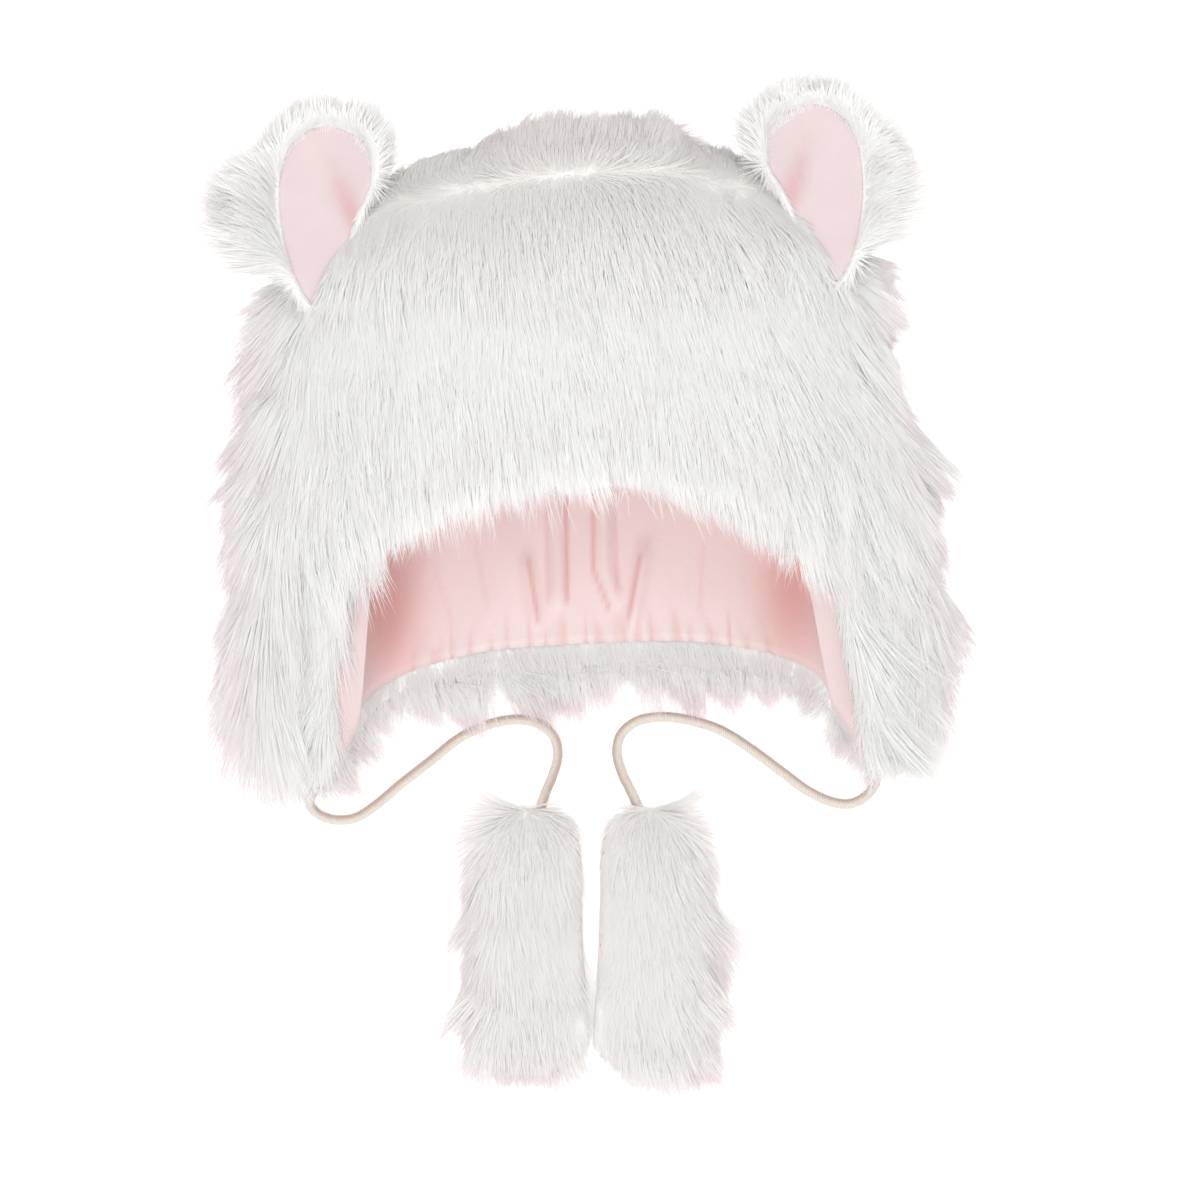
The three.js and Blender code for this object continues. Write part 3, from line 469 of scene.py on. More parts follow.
def growPile(name, skin, laid, material, density, seed, faceMask=None):
    carrier = skin.copy()
    carrier.data = skin.data.copy()
    if faceMask is not None:
        fill = readPoints(carrier.data, "fill")[:, 0] * faceMask
        carrier.data.attributes["fill"].data.foreach_set("value", fill.astype(np.float32))
    bpy.context.scene.collection.objects.link(carrier)
    grow = carrier.modifiers.new("pile", "NODES")
    grow.node_group = pileNodes
    for key, value in (("Fibre", fibreObject), ("Material", material), ("Seed", seed), ("Density", density),
                       ("Lock Pitch", laid["lockPitch"]), ("Tuft Pitch", laid["tuftPitch"])):
        grow[identifiers[key]] = value
    bpy.context.view_layer.update()
    grown = bpy.data.meshes.new_from_object(carrier.evaluated_get(bpy.context.evaluated_depsgraph_get()))
    bpy.data.objects.remove(carrier)
    pile = bpy.data.objects.new(name, grown)
    grown.name = name
    bpy.context.scene.collection.objects.link(pile)
    grown.polygons.foreach_set("use_smooth", np.ones(len(grown.polygons), bool))
    layFibres(grown, laid)
    for attribute in ("rootPlace", "rootNormal", "fibreChance", "lockCentre", "lockChance", "tuftCentre",
                      "tuftChance", "comb", "fibreLength", "stand", "fill", "across"):
        grown.attributes.remove(grown.attributes[attribute])
    print(f"{name}: {len(grown.polygons) // len(fibreWidths)} fibres")
    return pile


def pileMaterial():   # acrylic faux fur: fine matt fibres that pass light on, so it glows white; painted pink bounce light on the tips, and painted shade where the shade attribute asks
    material, tree = newMaterial("acrylic faux fur")
    place = addNode(tree, "ShaderNodeTexCoord").outputs["Object"]
    patches = addNode(tree, "ShaderNodeTexNoise", None, {"Vector": place, "Scale": 28.0, "Detail": 2.0})
    tone = addNode(tree, "ShaderNodeMix", {"data_type": "RGBA"}, {
        0: patches.outputs[0], 6: hexColour("#FCFCFA"), 7: hexColour("#FEFEFD")})
    # painted shade, as much as the shade attribute asks
    paintedShade = addNode(tree, "ShaderNodeAttribute", {"attribute_name": "shade"}).outputs["Fac"]
    tone = addNode(tree, "ShaderNodeMix", {"data_type": "RGBA"}, {
        0: paintedShade, 6: tone.outputs[2], 7: hexColour("#F4F1ED")})
    # painted pink bounce light, late along each fibre
    along = addNode(tree, "ShaderNodeAttribute", {"attribute_name": "along"}).outputs["Fac"]
    pinkBounceLight = addNode(tree, "ShaderNodeAttribute", {"attribute_name": "pinkBounceLight"}).outputs["Fac"]
    late = addNode(tree, "ShaderNodeMapRange", {"interpolation_type": "SMOOTHSTEP"}, {
        "Value": along, "From Min": 0.55, "From Max": 1.0})
    share = addNode(tree, "ShaderNodeMath", {"operation": "MULTIPLY"}, {0: late.outputs[0], 1: pinkBounceLight})
    pinkLitTips = addNode(tree, "ShaderNodeMix", {"data_type": "RGBA"}, {
        0: share.outputs[0], 6: tone.outputs[2], 7: hexColour("#ECDAE0")})
    shader = addNode(tree, "ShaderNodeBsdfPrincipled", None, {
        "Base Color": pinkLitTips.outputs[2], "Roughness": 0.75, "Specular IOR Level": 0.15})
    through = addNode(tree, "ShaderNodeBsdfTranslucent", None, {"Color": pinkLitTips.outputs[2]})
    both = addNode(tree, "ShaderNodeMixShader", None, {0: 0.5, 1: shader.outputs[0], 2: through.outputs[0]})
    addNode(tree, "ShaderNodeOutputMaterial", None, {"Surface": both.outputs[0]})
    return material


def underPileMaterial():   # the pile's dense foot: matt and finely streaked, so that gaps look furry too
    material, tree = newMaterial("acrylic faux fur, dense foot")
    place = addNode(tree, "ShaderNodeTexCoord").outputs["Object"]
    stretched = addNode(tree, "ShaderNodeMapping", None, {"Vector": place, "Scale": (1.0, 0.18, 1.0)})
    streaks = addNode(tree, "ShaderNodeTexNoise", None, {
        "Vector": stretched.outputs[0], "Scale": 900.0, "Detail": 3.0})
    tone = addNode(tree, "ShaderNodeMix", {"data_type": "RGBA"}, {
        0: streaks.outputs[0], 6: hexColour("#F4F3EF"), 7: hexColour("#FDFCFA")})
    seam = addNode(tree, "ShaderNodeAttribute", {"attribute_name": "seam"}).outputs["Fac"]
    tone = addNode(tree, "ShaderNodeMix", {"data_type": "RGBA"}, {
        0: seam, 6: tone.outputs[2], 7: hexColour("#E0C8C6")})
    bump = addNode(tree, "ShaderNodeBump", None, {
        "Strength": 0.6, "Distance": 0.001, "Height": streaks.outputs[0]})
    shader = addNode(tree, "ShaderNodeBsdfPrincipled", None, {
        "Base Color": tone.outputs[2], "Roughness": 0.9, "Specular IOR Level": 0.1,
        "Normal": bump.outputs[0]})
    addNode(tree, "ShaderNodeOutputMaterial", None, {"Surface": shader.outputs[0]})
    return material


furMaterial = pileMaterial()
footMaterial = underPileMaterial()


# Plush of the hat: a wall of cloth with the dense foot of its pile, and the pile on it

ear = dict(
    panelWidth=0.039, panelHeight=0.075, panelArea=0.0021, panelWall=0.002, fill=0.5,
    middle=(0.1019, 0.101, 0.092), tilt=0.16, cup=0.005, focus=0.1, ringColumns=84, backLift=-0.0232,
    lowRim=0.7, slimRim=0.62, innerRim=0.25, wideRim={-1: 2.1, 1: 1.8},
    # the first four set where painted shade darkens the panel's cupped recess, and how much
    recessShadePlace=(-0.0105, 0.001), recessShadeSize=(0.0045, 0.017), recessShadeSlant=0.35, recessShadeShare=0.75, panelDome=0.001,
    fibreLength=0.016, longest={-1: 0.019, 1: 0.013}, topShorter=0.005, innerShorter=0.004,
    stand=0.24, standBehind=0.16, pileFill=1.15,
    outline=[
        (0.04, 0.5), (0.3, 0.43), (0.45, 0.29), (0.49, 0.1), (0.47, -0.08), (0.39, -0.28), (0.25, -0.46),
        (0.13, -0.5), (0, -0.41), (-0.18, -0.22), (-0.34, -0.02), (-0.5, 0.16), (-0.49, 0.36), (-0.24, 0.47),
    ],
    innerSide=[(-0.5, 0.13), (-0.41, 0), (-0.22, -0.18), (-0.02, -0.34), (0.16, -0.5), (0.36, -0.49),
               (0.47, -0.24), (0.5, 0)],   # the panel's two sides, as shares up and out
    outerSide=[(-0.5, 0.13), (-0.46, 0.25), (-0.28, 0.39), (-0.08, 0.47), (0.1, 0.49), (0.29, 0.45),
               (0.43, 0.3), (0.5, 0.04)],
)

plush = dict(
    flat=(0.66, 0.29), flatArea=0.14,
    foot=0.0082, napeFoot=0.006, edgeFoot=0.0022, edgeRound=0.014, frontColumns=110, napeColumns=80, rows=52,
    split=0.43, fibreLength=0.027, sideLength=0.022, topLength=0.012, frontStand=0.26, sideStand=0.6,
    topStand=0.4, rimStand=0.62, hemStand=0.36, hemFill=2.2, underLining=0.003, turnFromOpening=0.6,
    hemBeyond=0.004, shortest=0.003, napeStand=0.25,
    side=(0.6, 0.95), fold=(0.5, 0.95), rim=(0.75, 1),   # how far the cloth has turned aside, and back
    nearEar=(0.002, 0.014), underEar=-0.005, opening=(0.66, 0.7), openingReach=(0.004, 0.03),
    hem=(0.008, 0.03),
    comb=dict(outward=0.06, sideOutward=0.32, sideDown=0.2, foldBack=2.2, foldDown=0.7),
    hang=[   # how far the pile hangs past the cloth's front edge
        (0, -0.001), (0.25, 0.001), (0.36, 0.009), (0.5, 0.014), (0.62, 0.017), (0.67, 0.015), (0.73, 0.014),
        (0.88, 0.015), (0.94, 0.012), (1, 0.009)],
    leftHang=[(0, 1), (0.28, 1), (0.4, 0.1), (0.62, 0), (0.68, 0.5), (0.75, 1)],   # share of it on the left
    leftSide=[   # share of the side pile's length at each distance along the hat
        (-0.12, 1), (-0.108, 1.25), (-0.05, 1.25), (-0.042, 0.75), (-0.035, 0.8), (-0.028, 1.1),
        (-0.022, 1.1), (-0.015, 0.8), (0, 1), (0.01, 1.25), (0.026, 1.2), (0.033, 0.8), (0.045, 0.8),
        (0.052, 1.25), (0.06, 1), (0.075, 0.75)],
    rightSide=[
        (-0.125, 0.55), (-0.1, 0.6), (-0.085, 0.65), (-0.075, 0.97), (-0.068, 0.97), (-0.058, 0.7),
        (-0.045, 0.45), (-0.03, 0.55), (-0.02, 0.4), (-0.008, 0.8), (0, 0.9), (0.012, 0.45), (0.02, 0.25),
        (0.042, 0.25), (0.055, 0.55), (0.075, 0.55)],
    hemLength=[(0, 0.018), (0.3, 0.020), (0.5, 0.018), (0.7, 0.012), (0.85, 0.009), (1, 0.010)],
)
frontPile = dict(
    lockPitch=0.014, tuftPitch=0.005, lockPull=0.18, tuftPull=0.2, wander=0.35, lockWander=0.2,
    droop=0.22, twist=0.4, lengthSpread=0.7,
)
sidePile = dict(
    lockPitch=0.012, tuftPitch=0.005, lockPull=0.6, tuftPull=0.25, wander=0.35, lockWander=0.4,
    droop=0.2, twist=1.2, lengthSpread=0.9,
)
hemPile = dict(
    lockPitch=0.018, tuftPitch=0.006, lockPull=0.55, tuftPull=0.35, wander=0.45, lockWander=0.4,
    droop=0.5, twist=1.0, lengthSpread=0.8,
)
hatRegions = dict(   # where each piece of pile grows, and how many fibres stand on a square metre
    crownPile=dict(side=0, face=1, density=1.3e6, seed=3, laid=frontPile),
    leftPile=dict(side=-1, face=1, density=1.32e6, seed=5, laid=sidePile),
    rightPile=dict(side=1, face=1, density=1.32e6, seed=7, laid=sidePile),
    napePile=dict(side=0, face=-1, density=0.68e6, seed=9, laid=hemPile),
)


def hatWall(angles, layer, outerDistance, innerDistance, rowCount, split):
    edge = edgeOf(angles, layer)
    near, far = (np.linspace(0, 1, rowCount)[1:] ** power for power in hat["rowCrowding"])
    near = near * split
    along = np.vstack([np.repeat(near[:, None], len(angles), 1), split + (edge - split) * far[:, None]])
    angle = np.repeat(angles[None, :], len(along), 0)
    place, normal, onward = clothFrame(angle, along)
    at = dict(angle=angle, along=along, place=place, normal=normal, onward=onward,
              toEdge=(edge - along) * hat["length"])
    distances = outerDistance(at), innerDistance(at)
    skins = [place + normal * distance[..., None] for distance in distances]
    rings = np.concatenate([skins[0], skins[1][::-1]])
    pole = np.array([0, hat["crownTop"], hat["crownMiddle"]])
    ends = [pole + (0, distance[0].mean(), 0) + hatPlace for distance in distances]
    return *loft(rings + hatPlace, *ends), at


def topShape(at):   # how far a place belongs to the crown's top edge, and to its low corners
    x = at["place"][..., 0]
    top = smoothStep(0.15, 0.7, at["normal"][..., 1])
    corner = np.where(x < 0, smoothStep(0.014, 0.04, -x), smoothStep(0.034, 0.056, x))
    return top, top * corner


def earDistance(place):   # how far a place lies beyond the outline of an ear's panel, less than 0 inside it
    out = (np.abs(place[..., 0]) - ear["middle"][0]) / ear["panelWidth"]
    up = (place[..., 1] - ear["middle"][1]) / ear["panelHeight"]
    inner, outer = (np.interp(up, *zip(*ear[key])) for key in ("innerSide", "outerSide"))
    sideways = np.maximum(inner - out, out - outer) * ear["panelWidth"]
    beyond = np.maximum(np.abs(up) - 0.5, 0) * ear["panelHeight"]
    return np.where(beyond > 0, np.hypot(np.maximum(sideways, 0), beyond), sideways)


def edgeDistance(at):   # from each place on the cloth to its nearest point on the edge
    edge = at["place"][-1]
    return np.stack([np.linalg.norm(edge[None] - row[:, None], axis=-1).min(1) for row in at["place"]])


def footHeight(at):
    front = np.sin(at["angle"]) >= 0
    top, corner = topShape(at)
    full = np.where(front, plush["foot"], plush["napeFoot"])
    full = full * (1 - 0.1 * top) * (1 - 0.6 * corner)
    full = full * (0.3 + 0.7 * smoothStep(-0.004, 0.004, earDistance(at["place"])))
    share = np.sqrt(smoothStep(-0.001, plush["edgeRound"], at["toEdge"]))
    return plush["edgeFoot"] + (np.maximum(full, plush["edgeFoot"]) - plush["edgeFoot"]) * share


def plushSkin():
    angles = np.concatenate([
        evenAngles(0, math.pi, plush["frontColumns"]), evenAngles(-math.pi, 0, plush["napeColumns"])])
    points, faces, at = hatWall(angles, "plush", footHeight, lambda at: np.zeros(at["angle"].shape),
                                plush["rows"] // 2 + 1, plush["split"])
    skin = meshObject("hatFoot", points, faces, footMaterial)
    rows, columns = at["angle"].shape
    angle, along, normal, toEdge = at["angle"], at["along"], at["normal"], at["toEdge"]
    across = acrossOf(angle) * np.sign(np.cos(angle))
    nape = np.sin(angle) < 0
    top, corner = topShape(at)
    sideways = smoothStep(*plush["side"], np.abs(normal[..., 0]))
    nearEar = earDistance(at["place"])
    besideEar = (1 - smoothStep(*plush["nearEar"], nearEar)) * (1 - sideways)

    ways = plush["comb"]
    outward = (ways["outward"] + ways["sideOutward"] * sideways) * (1 - besideEar)
    away = smoothStep(*plush["opening"], np.abs(across))
    away = away * (1 - smoothStep(*plush["openingReach"], edgeDistance(at)))
    outward = outward + plush["turnFromOpening"] * away
    over = smoothStep(*plush["fold"], normal[..., 1])   # past the fold the pile falls back
    comb = np.stack([outward * across, -1 + ways["foldBack"] * over,
                     -ways["foldDown"] * over - ways["sideDown"] * sideways], -1)
    comb = np.where(nape[..., None], at["onward"], comb)
    comb = unit(comb - normal * (comb * normal).sum(-1, keepdims=True))

    stand = plush["frontStand"] + (plush["sideStand"] - plush["frontStand"]) * sideways
    stand = np.where(nape, plush["napeStand"] + 0.3 * sideways, stand)
    stand = stand + (plush["topStand"] - stand) * top
    stand = stand + (plush["rimStand"] - stand) * smoothStep(*plush["rim"], normal[..., 1])
    stand = stand * (1 - 1.2 * over * (1 - over))   # flatter where it parts
    stand = stand * (1 - 0.55 * corner) * (1 - 0.4 * besideEar)
    length = plush["fibreLength"] + (plush["sideLength"] - plush["fibreLength"]) * sideways
    tufts = [np.interp(at["place"][..., 1], *zip(*plush[key])) for key in ("leftSide", "rightSide")]
    length = length * (1 + (np.where(at["place"][..., 0] < 0, *tufts) - 1) * sideways)
    length = length + (plush["topLength"] - length) * top
    length = length * (1 - 0.2 * corner) * (1 - 0.3 * besideEar)
    hang = np.interp(np.abs(across), *zip(*plush["hang"]))
    hang = hang * np.interp(-across, *zip(*plush["leftHang"]))
    length = np.where(nape, length, np.clip(toEdge + hang, plush["shortest"], length))
    hemLength = np.interp(np.abs(across), *zip(*plush["hemLength"]))
    hemmed = np.clip(toEdge + hemLength - plush["hemBeyond"], plush["shortest"], length)
    length = np.where(nape, hemmed, length)
    hem = 1 - smoothStep(*plush["hem"], toEdge)
    fill = np.where(nape, 0.12 + 0.75 * np.maximum(hem, 0.8 * smoothStep(0.75, 0.95, np.abs(across))), 1)
    fill = np.where(nearEar < plush["underEar"], 0, fill * (1 + 0.5 * top))
    # painted pink bounce light on the tips: at the sides, over the top's back edge and round the nape
    pinkBounceLight = np.clip(0.05 + 0.75 * sideways + 0.4 * smoothStep(0.8, 1, normal[..., 1]) + 0.4 * nape, 0, 1)

    past = along > edgeOf(angle, "lining") - plush["underLining"] / hat["length"]
    insideFill = np.where(past & nape, plush["hemFill"], 0.0)
    flat = rows * columns

    def bothSkins(outerValues, innerValues, ends):
        outerValues, innerValues = np.asarray(outerValues), np.asarray(innerValues)
        shape = (flat, *outerValues.shape[2:])
        return np.concatenate([outerValues.reshape(shape), innerValues[::-1].reshape(shape), ends])

    even = np.ones(along.shape)
    for name, outer, inner, ends in (
        ("comb", comb, at["onward"], np.array([[0, 0, 0.4], [0, 0, 1.0]])),
        ("fill", fill, insideFill, [1.5, 0]),
        ("stand", stand, plush["hemStand"] * even, [plush["topStand"], 0]),
        ("fibreLength", length, hemLength, [plush["topLength"], 0.01]),
        # painted pink bounce light on the tips (0.7 on the inner skin beside the pink lining), then painted
        # shade on the crown's top band, which turns away from the key light
        ("pinkBounceLight", pinkBounceLight, 0.7 * even, [0.5, 0]),
        ("shade", top * 0.5, 0 * even, [0.5, 0]),
    ):
        storeOnPoints(skin, name, bothSkins(outer, inner, ends))
    column = np.concatenate([np.tile(np.tile(across[0], rows), 2), [0, 0]])
    under = np.concatenate([np.tile(np.tile(nape[0], rows), 2), [False, False]])
    return skin, column, under


hatFoot, acrossAt, napeAt = plushSkin()
hatPiles = []
for name, region in hatRegions.items():
    if region["face"] < 0:
        mask = napeAt.astype(float)
    elif region["side"] == 0:
        mask = (~napeAt & (np.abs(acrossAt) < 0.6)).astype(float)
    else:
        mask = (~napeAt & (acrossAt * region["side"] >= 0.6)).astype(float)
    hatPiles.append(
        growPile(name, hatFoot, region["laid"], furMaterial, region["density"], region["seed"], mask))
print("plush of the hat made")


# Ears: a plump round of plush behind each pink panel, with pile that stands out from its rim

earRings = [   # share of the outline, growth beyond it and lift, from the panel round to the back
    (0.55, 0, -0.0016), (0.97, 0, -0.0016), (1, 0.0006, 0.0012), (1, 0.0025, 0.0028), (1, 0.005, 0.0026),
    (1, 0.0072, 0.0002), (1, 0.0082, -0.0036), (1, 0.008, -0.008), (1, 0.0065, -0.0125), (1, 0.0035, -0.0165),
    (0.93, 0, -0.0195), (0.75, 0, -0.0215), (0.5, 0, -0.0225), (0.22, 0, -0.023),
]
earPile = dict(
    density=1.35e6, lockPitch=0.012, tuftPitch=0.0045, lockPull=0.3, tuftPull=0.25, wander=0.35,
    lockWander=0.25, droop=0.15, twist=1.0, lengthSpread=0.8,
)


def closedCurve(points, count):   # an even closed curve through the points
    points = np.array(points, float)
    n, fine = len(points), 24
    made = []
    for i in range(n):
        a, b, c, d = (points[(i + k) % n] for k in (-1, 0, 1, 2))
        t = np.arange(fine)[:, None] / fine
        made.append(0.5 * (2 * b + (c - a) * t + (2 * a - 5 * b + 4 * c - d) * t ** 2
                           + (3 * b - a - 3 * c + d) * t ** 3))
    line = np.vstack([*made, points[:1]])
    length = np.concatenate([[0], np.cumsum(np.linalg.norm(np.diff(line, axis=0), axis=1))])
    at = np.linspace(0, length[-1], count, endpoint=False)
    return np.stack([np.interp(at, length, line[:, i]) for i in range(2)], -1)


def earPoint(side, out, up, lift):
    cupped = ear["cup"] * ((out / ear["panelWidth"]) ** 2 + (up / ear["panelHeight"]) ** 2) * 4
    x = side * (ear["middle"][0] + out)
    y = ear["middle"][1] + up
    z = ear["middle"][2] - ear["tilt"] * (up + out) + cupped + lift
    return np.stack([x, y, z + np.zeros_like(x)], -1) + hatPlace


def earRing(side, share, growth, lift):
    outline = closedCurve(ear["outline"], ear["ringColumns"]) * (ear["panelWidth"], ear["panelHeight"])
    middle = np.array([ear["focus"] * ear["panelWidth"], 0])
    away = outline - middle
    reach = np.linalg.norm(away, axis=1, keepdims=True)
    out, up = (away / reach).T[:, :, None]
    wide = smoothStep(0, 0.5, out) * (1 - smoothStep(0.55, 1, up))
    hidden = smoothStep(0.1, 0.5, -out) * (1 - smoothStep(0.2, 0.6, up))   # under the crown's pile
    rim = ear["slimRim"] + (ear["innerRim"] - ear["slimRim"]) * hidden
    low = smoothStep(0.5, 0.95, -up)
    growth = growth * (rim + (ear["wideRim"][side] - rim) * wide) * (1 - ear["lowRim"] * low)
    spread = middle + away * (reach * share + growth) / reach
    ring = earPoint(side, spread[:, 0], spread[:, 1], lift)
    return ring, away / reach


def makeEar(name, side):
    rings, ways = [], []
    for share, growth, lift in earRings:
        ring, away = earRing(side, share, growth, lift)
        rings.append(ring)
        ways.append(away)
    focus = np.array(ear["focus"] * ear["panelWidth"])
    start = earPoint(side, focus, np.array(0.0), earRings[0][2])
    end = earPoint(side, focus, np.array(0.0), ear["backLift"])
    points, faces = loft(rings, start, end, side < 0)
    foot = meshObject(name + "Foot", points, faces, footMaterial)
    away = np.vstack([*ways, [[0, 1]], [[0, 1]]])
    growth = np.concatenate([np.full(len(rings[0]), g) for _, g, _ in earRings] + [[0], [0]])
    last = len(earRings) - 1
    row = np.concatenate([np.full(len(rings[0]), i) for i in range(last + 1)] + [[0], [last]])
    up, out = away[:, 1], away[:, 0]
    upward = np.clip(up, 0, 1) ** 2
    inward = np.clip(-out, 0, 1) * (1 - upward)
    outward = smoothStep(0.1, 0.6, out)
    rise = np.where(out > 0, smoothStep(0.5, 0.85, up), smoothStep(0.2, 0.6, up))   # up and out at the top
    down = smoothStep(0.0, 0.5, -out) + smoothStep(0.5, 0.9, -up) * (1 - smoothStep(0.2, 0.5, out))
    down = np.minimum(down, 1) * (1 - rise)   # down on the crown's side, and straight out at the rim
    comb = np.stack([side * (rise * out * 1.1 + (1 - rise - down) * 1.2),
                     rise * up - 1.1 * down + 0.2 * outward, np.full(len(up), -0.1)], -1)
    behind = smoothStep(8, 11, row)
    comb = comb + behind[:, None] * np.array([side * 0.4, 0.5, 0])
    outer = np.clip(out, 0, 1)
    longest = ear["longest"][side]
    length = (ear["fibreLength"] - ear["topShorter"] * upward - ear["innerShorter"] * inward
              + (longest - ear["fibreLength"]) * outer * (1 - upward))
    length = length * (0.8 + 0.2 * smoothStep(1, 5, row)) * (1 - 0.5 * down)
    stand = np.full(len(up), ear["stand"]) + ear["standBehind"] * smoothStep(3, 6, row) * (1 - down)
    fill = np.where(row < 1, 0, ear["pileFill"]) * (1 - 0.4 * behind) * (1 - 0.6 * down)
    # painted pink bounce light on the tips, more the farther the rim grows out
    pinkBounceLight = np.clip(0.05 + 35 * growth, 0, 0.5)
    flat = np.zeros(len(up))
    for key, values in dict(
            comb=comb, fibreLength=length, stand=stand, fill=fill, pinkBounceLight=pinkBounceLight, shade=flat).items():
        storeOnPoints(foot, key, values)
    seed = 21 if side < 0 else 23
    return foot, growPile(name + "Pile", foot, earPile, furMaterial, earPile["density"], seed)


def plushCloth(name, low, high, recessShade, paintedLight):   # short polyester plush, brushed: matt, a little mottled, with painted light and painted shade mixed in by its attributes
    material, tree = newMaterial(name)
    place = addNode(tree, "ShaderNodeTexCoord").outputs["Object"]
    patches = addNode(tree, "ShaderNodeTexNoise", None, {"Vector": place, "Scale": 60.0, "Detail": 4.0})
    nap = addNode(tree, "ShaderNodeTexNoise", None, {"Vector": place, "Scale": 900.0, "Detail": 3.0})
    tone = addNode(tree, "ShaderNodeMix", {"data_type": "RGBA"}, {
        0: patches.outputs[0], 6: hexColour(low), 7: hexColour(high)})
    # painted light, painted shade in recesses and creases, and painted shade over the lining's front
    for attribute, colour in (("paintedLight", paintedLight), ("recessShade", recessShade), ("creaseShade", recessShade), ("paintedShade", "#D2BEBD")):
        share = addNode(tree, "ShaderNodeAttribute", {"attribute_name": attribute}).outputs["Fac"]
        tone = addNode(tree, "ShaderNodeMix", {"data_type": "RGBA"}, {
            0: share, 6: tone.outputs[2], 7: hexColour(colour)})
    bump = addNode(tree, "ShaderNodeBump", None, {
        "Strength": 0.35, "Distance": 0.0005, "Height": nap.outputs[0]})
    shader = addNode(tree, "ShaderNodeBsdfPrincipled", None, {
        "Base Color": tone.outputs[2], "Roughness": 0.9, "Specular IOR Level": 0.1,
        "Sheen Weight": 0.3, "Sheen Roughness": 0.5, "Normal": bump.outputs[0]})
    addNode(tree, "ShaderNodeOutputMaterial", None, {"Surface": shader.outputs[0]})
    return material


earCloth = plushCloth("short polyester plush, ear pink", "#D9C7C8", "#DFD1D0", "#D2A5A7", "#DFD1D0")
liningCloth = plushCloth("short polyester plush, lining pink", "#F1DBD9", "#F4E1DF", "#E3AFAC", "#F1E2E0")


def makeEarPanel(name, side):
    top, rings = ear["panelWall"] / 2, []
    for share, lift in (
        (0.15, 0.0009), (0.3, 0.0009), (0.45, 0.0008), (0.6, 0.0006), (0.7, 0.0004), (0.8, 0.0002),
        (0.88, 0), (0.97, -0.0004), (1, -0.001),
    ):
        rings.append(earRing(side, share, 0, top + lift)[0])
    rings += [earRing(side, share, 0, -top)[0] for share in (0.97, 0.5)]
    focus = np.array(ear["focus"] * ear["panelWidth"])
    start = earPoint(side, focus, np.array(0.0), top + ear["panelDome"])
    end = earPoint(side, focus, np.array(0.0), -top)
    points, faces = loft(rings, start, end, side < 0)
    panel = meshObject(name, points, faces, earCloth)
    # painted shade in the panel's cupped recess, on its inner side
    placed = np.array(points) - hatPlace
    out = side * placed[:, 0] - ear["middle"][0] - ear["recessShadePlace"][0]
    up = placed[:, 1] - ear["middle"][1] - ear["recessShadePlace"][1]
    across, along = (out - ear["recessShadeSlant"] * up) / ear["recessShadeSize"][0], up / ear["recessShadeSize"][1]
    storeOnPoints(panel, "recessShade", ear["recessShadeShare"] * np.exp(-across ** 2 - along ** 2))
    return panel


ears = {}
for name, side in (("leftEar", -1), ("rightEar", 1)):
    foot, pile = makeEar(name, side)
    ears[side] = dict(foot=foot, pile=pile, panel=makeEarPanel(name + "Panel", side))
print("ears made")


# Lining: one closed cloth with its folds and the gathers along the nape's hem

lining = dict(
    flat=(0.62, 0.27), flatArea=0.13,
    frontColumns=100, napeColumns=290, rows=44, split=0.43,
    gatherPitch=0.008, gatherHeight=0.0018, gatherReach=0.017, gatherHalf=0.084,
    ridgeWidth=0.0034, ridgeHeight=0.003, creaseShadeWidth=0.0011, ripple=0.0005,
    # the corners' places and sizes, and the front's share, set painted shade
    cornerShadePlace=(0.087, -0.062), cornerShadeSize=(0.015, 0.034), cornerShadeBelow=0.075, frontPaintedShade=0.55,
    wobble=((0.15, 310, 0), (0.1, 733, 1)),   # size, turns and start of each wave in the gathers' places
    ridges=[[(-12.2, -10), (-14, -62)], [(7.8, -10), (7, -48), (10.5, -62)],
            [(-26.5, -46), (-24, -70)], [(24, -44), (18, -72)]],
    creaseShades=[   # lines of painted shade, in millimetres across and along the hat, each with its strength
        (0.35, [(-16.8, -10), (-18.1, -62)]), (0.8, [(-7.9, -10), (-9.9, -64)]),
        (0.75, [(3.6, -10), (2, -51), (8, -67)]), (0.35, [(12.2, -10), (12, -59)]),
        (0.75, [(-25.9, -45), (-22.8, -71)]), (0.75, [(22.8, -44), (15.9, -73)]),
        (0.2, [(-48, -38), (-44, -66)]), (0.2, [(50, -40), (47, -68)]), (0.2, [(-66, -48), (-60, -70)]),
    ],
)


def nearStroke(place, stroke):   # distance to a crease's line, and how far it has faded at its ends
    stroke = np.array(stroke) * mm
    flat = place[..., :2]
    best = np.full(flat.shape[:-1], 1.0)
    for a, b in zip(stroke, stroke[1:]):
        share = np.clip(((flat - a) @ (b - a)) / ((b - a) @ (b - a)), 0, 1)
        best = np.minimum(best, np.linalg.norm(flat - (a + share[..., None] * (b - a)), axis=-1))
    return best


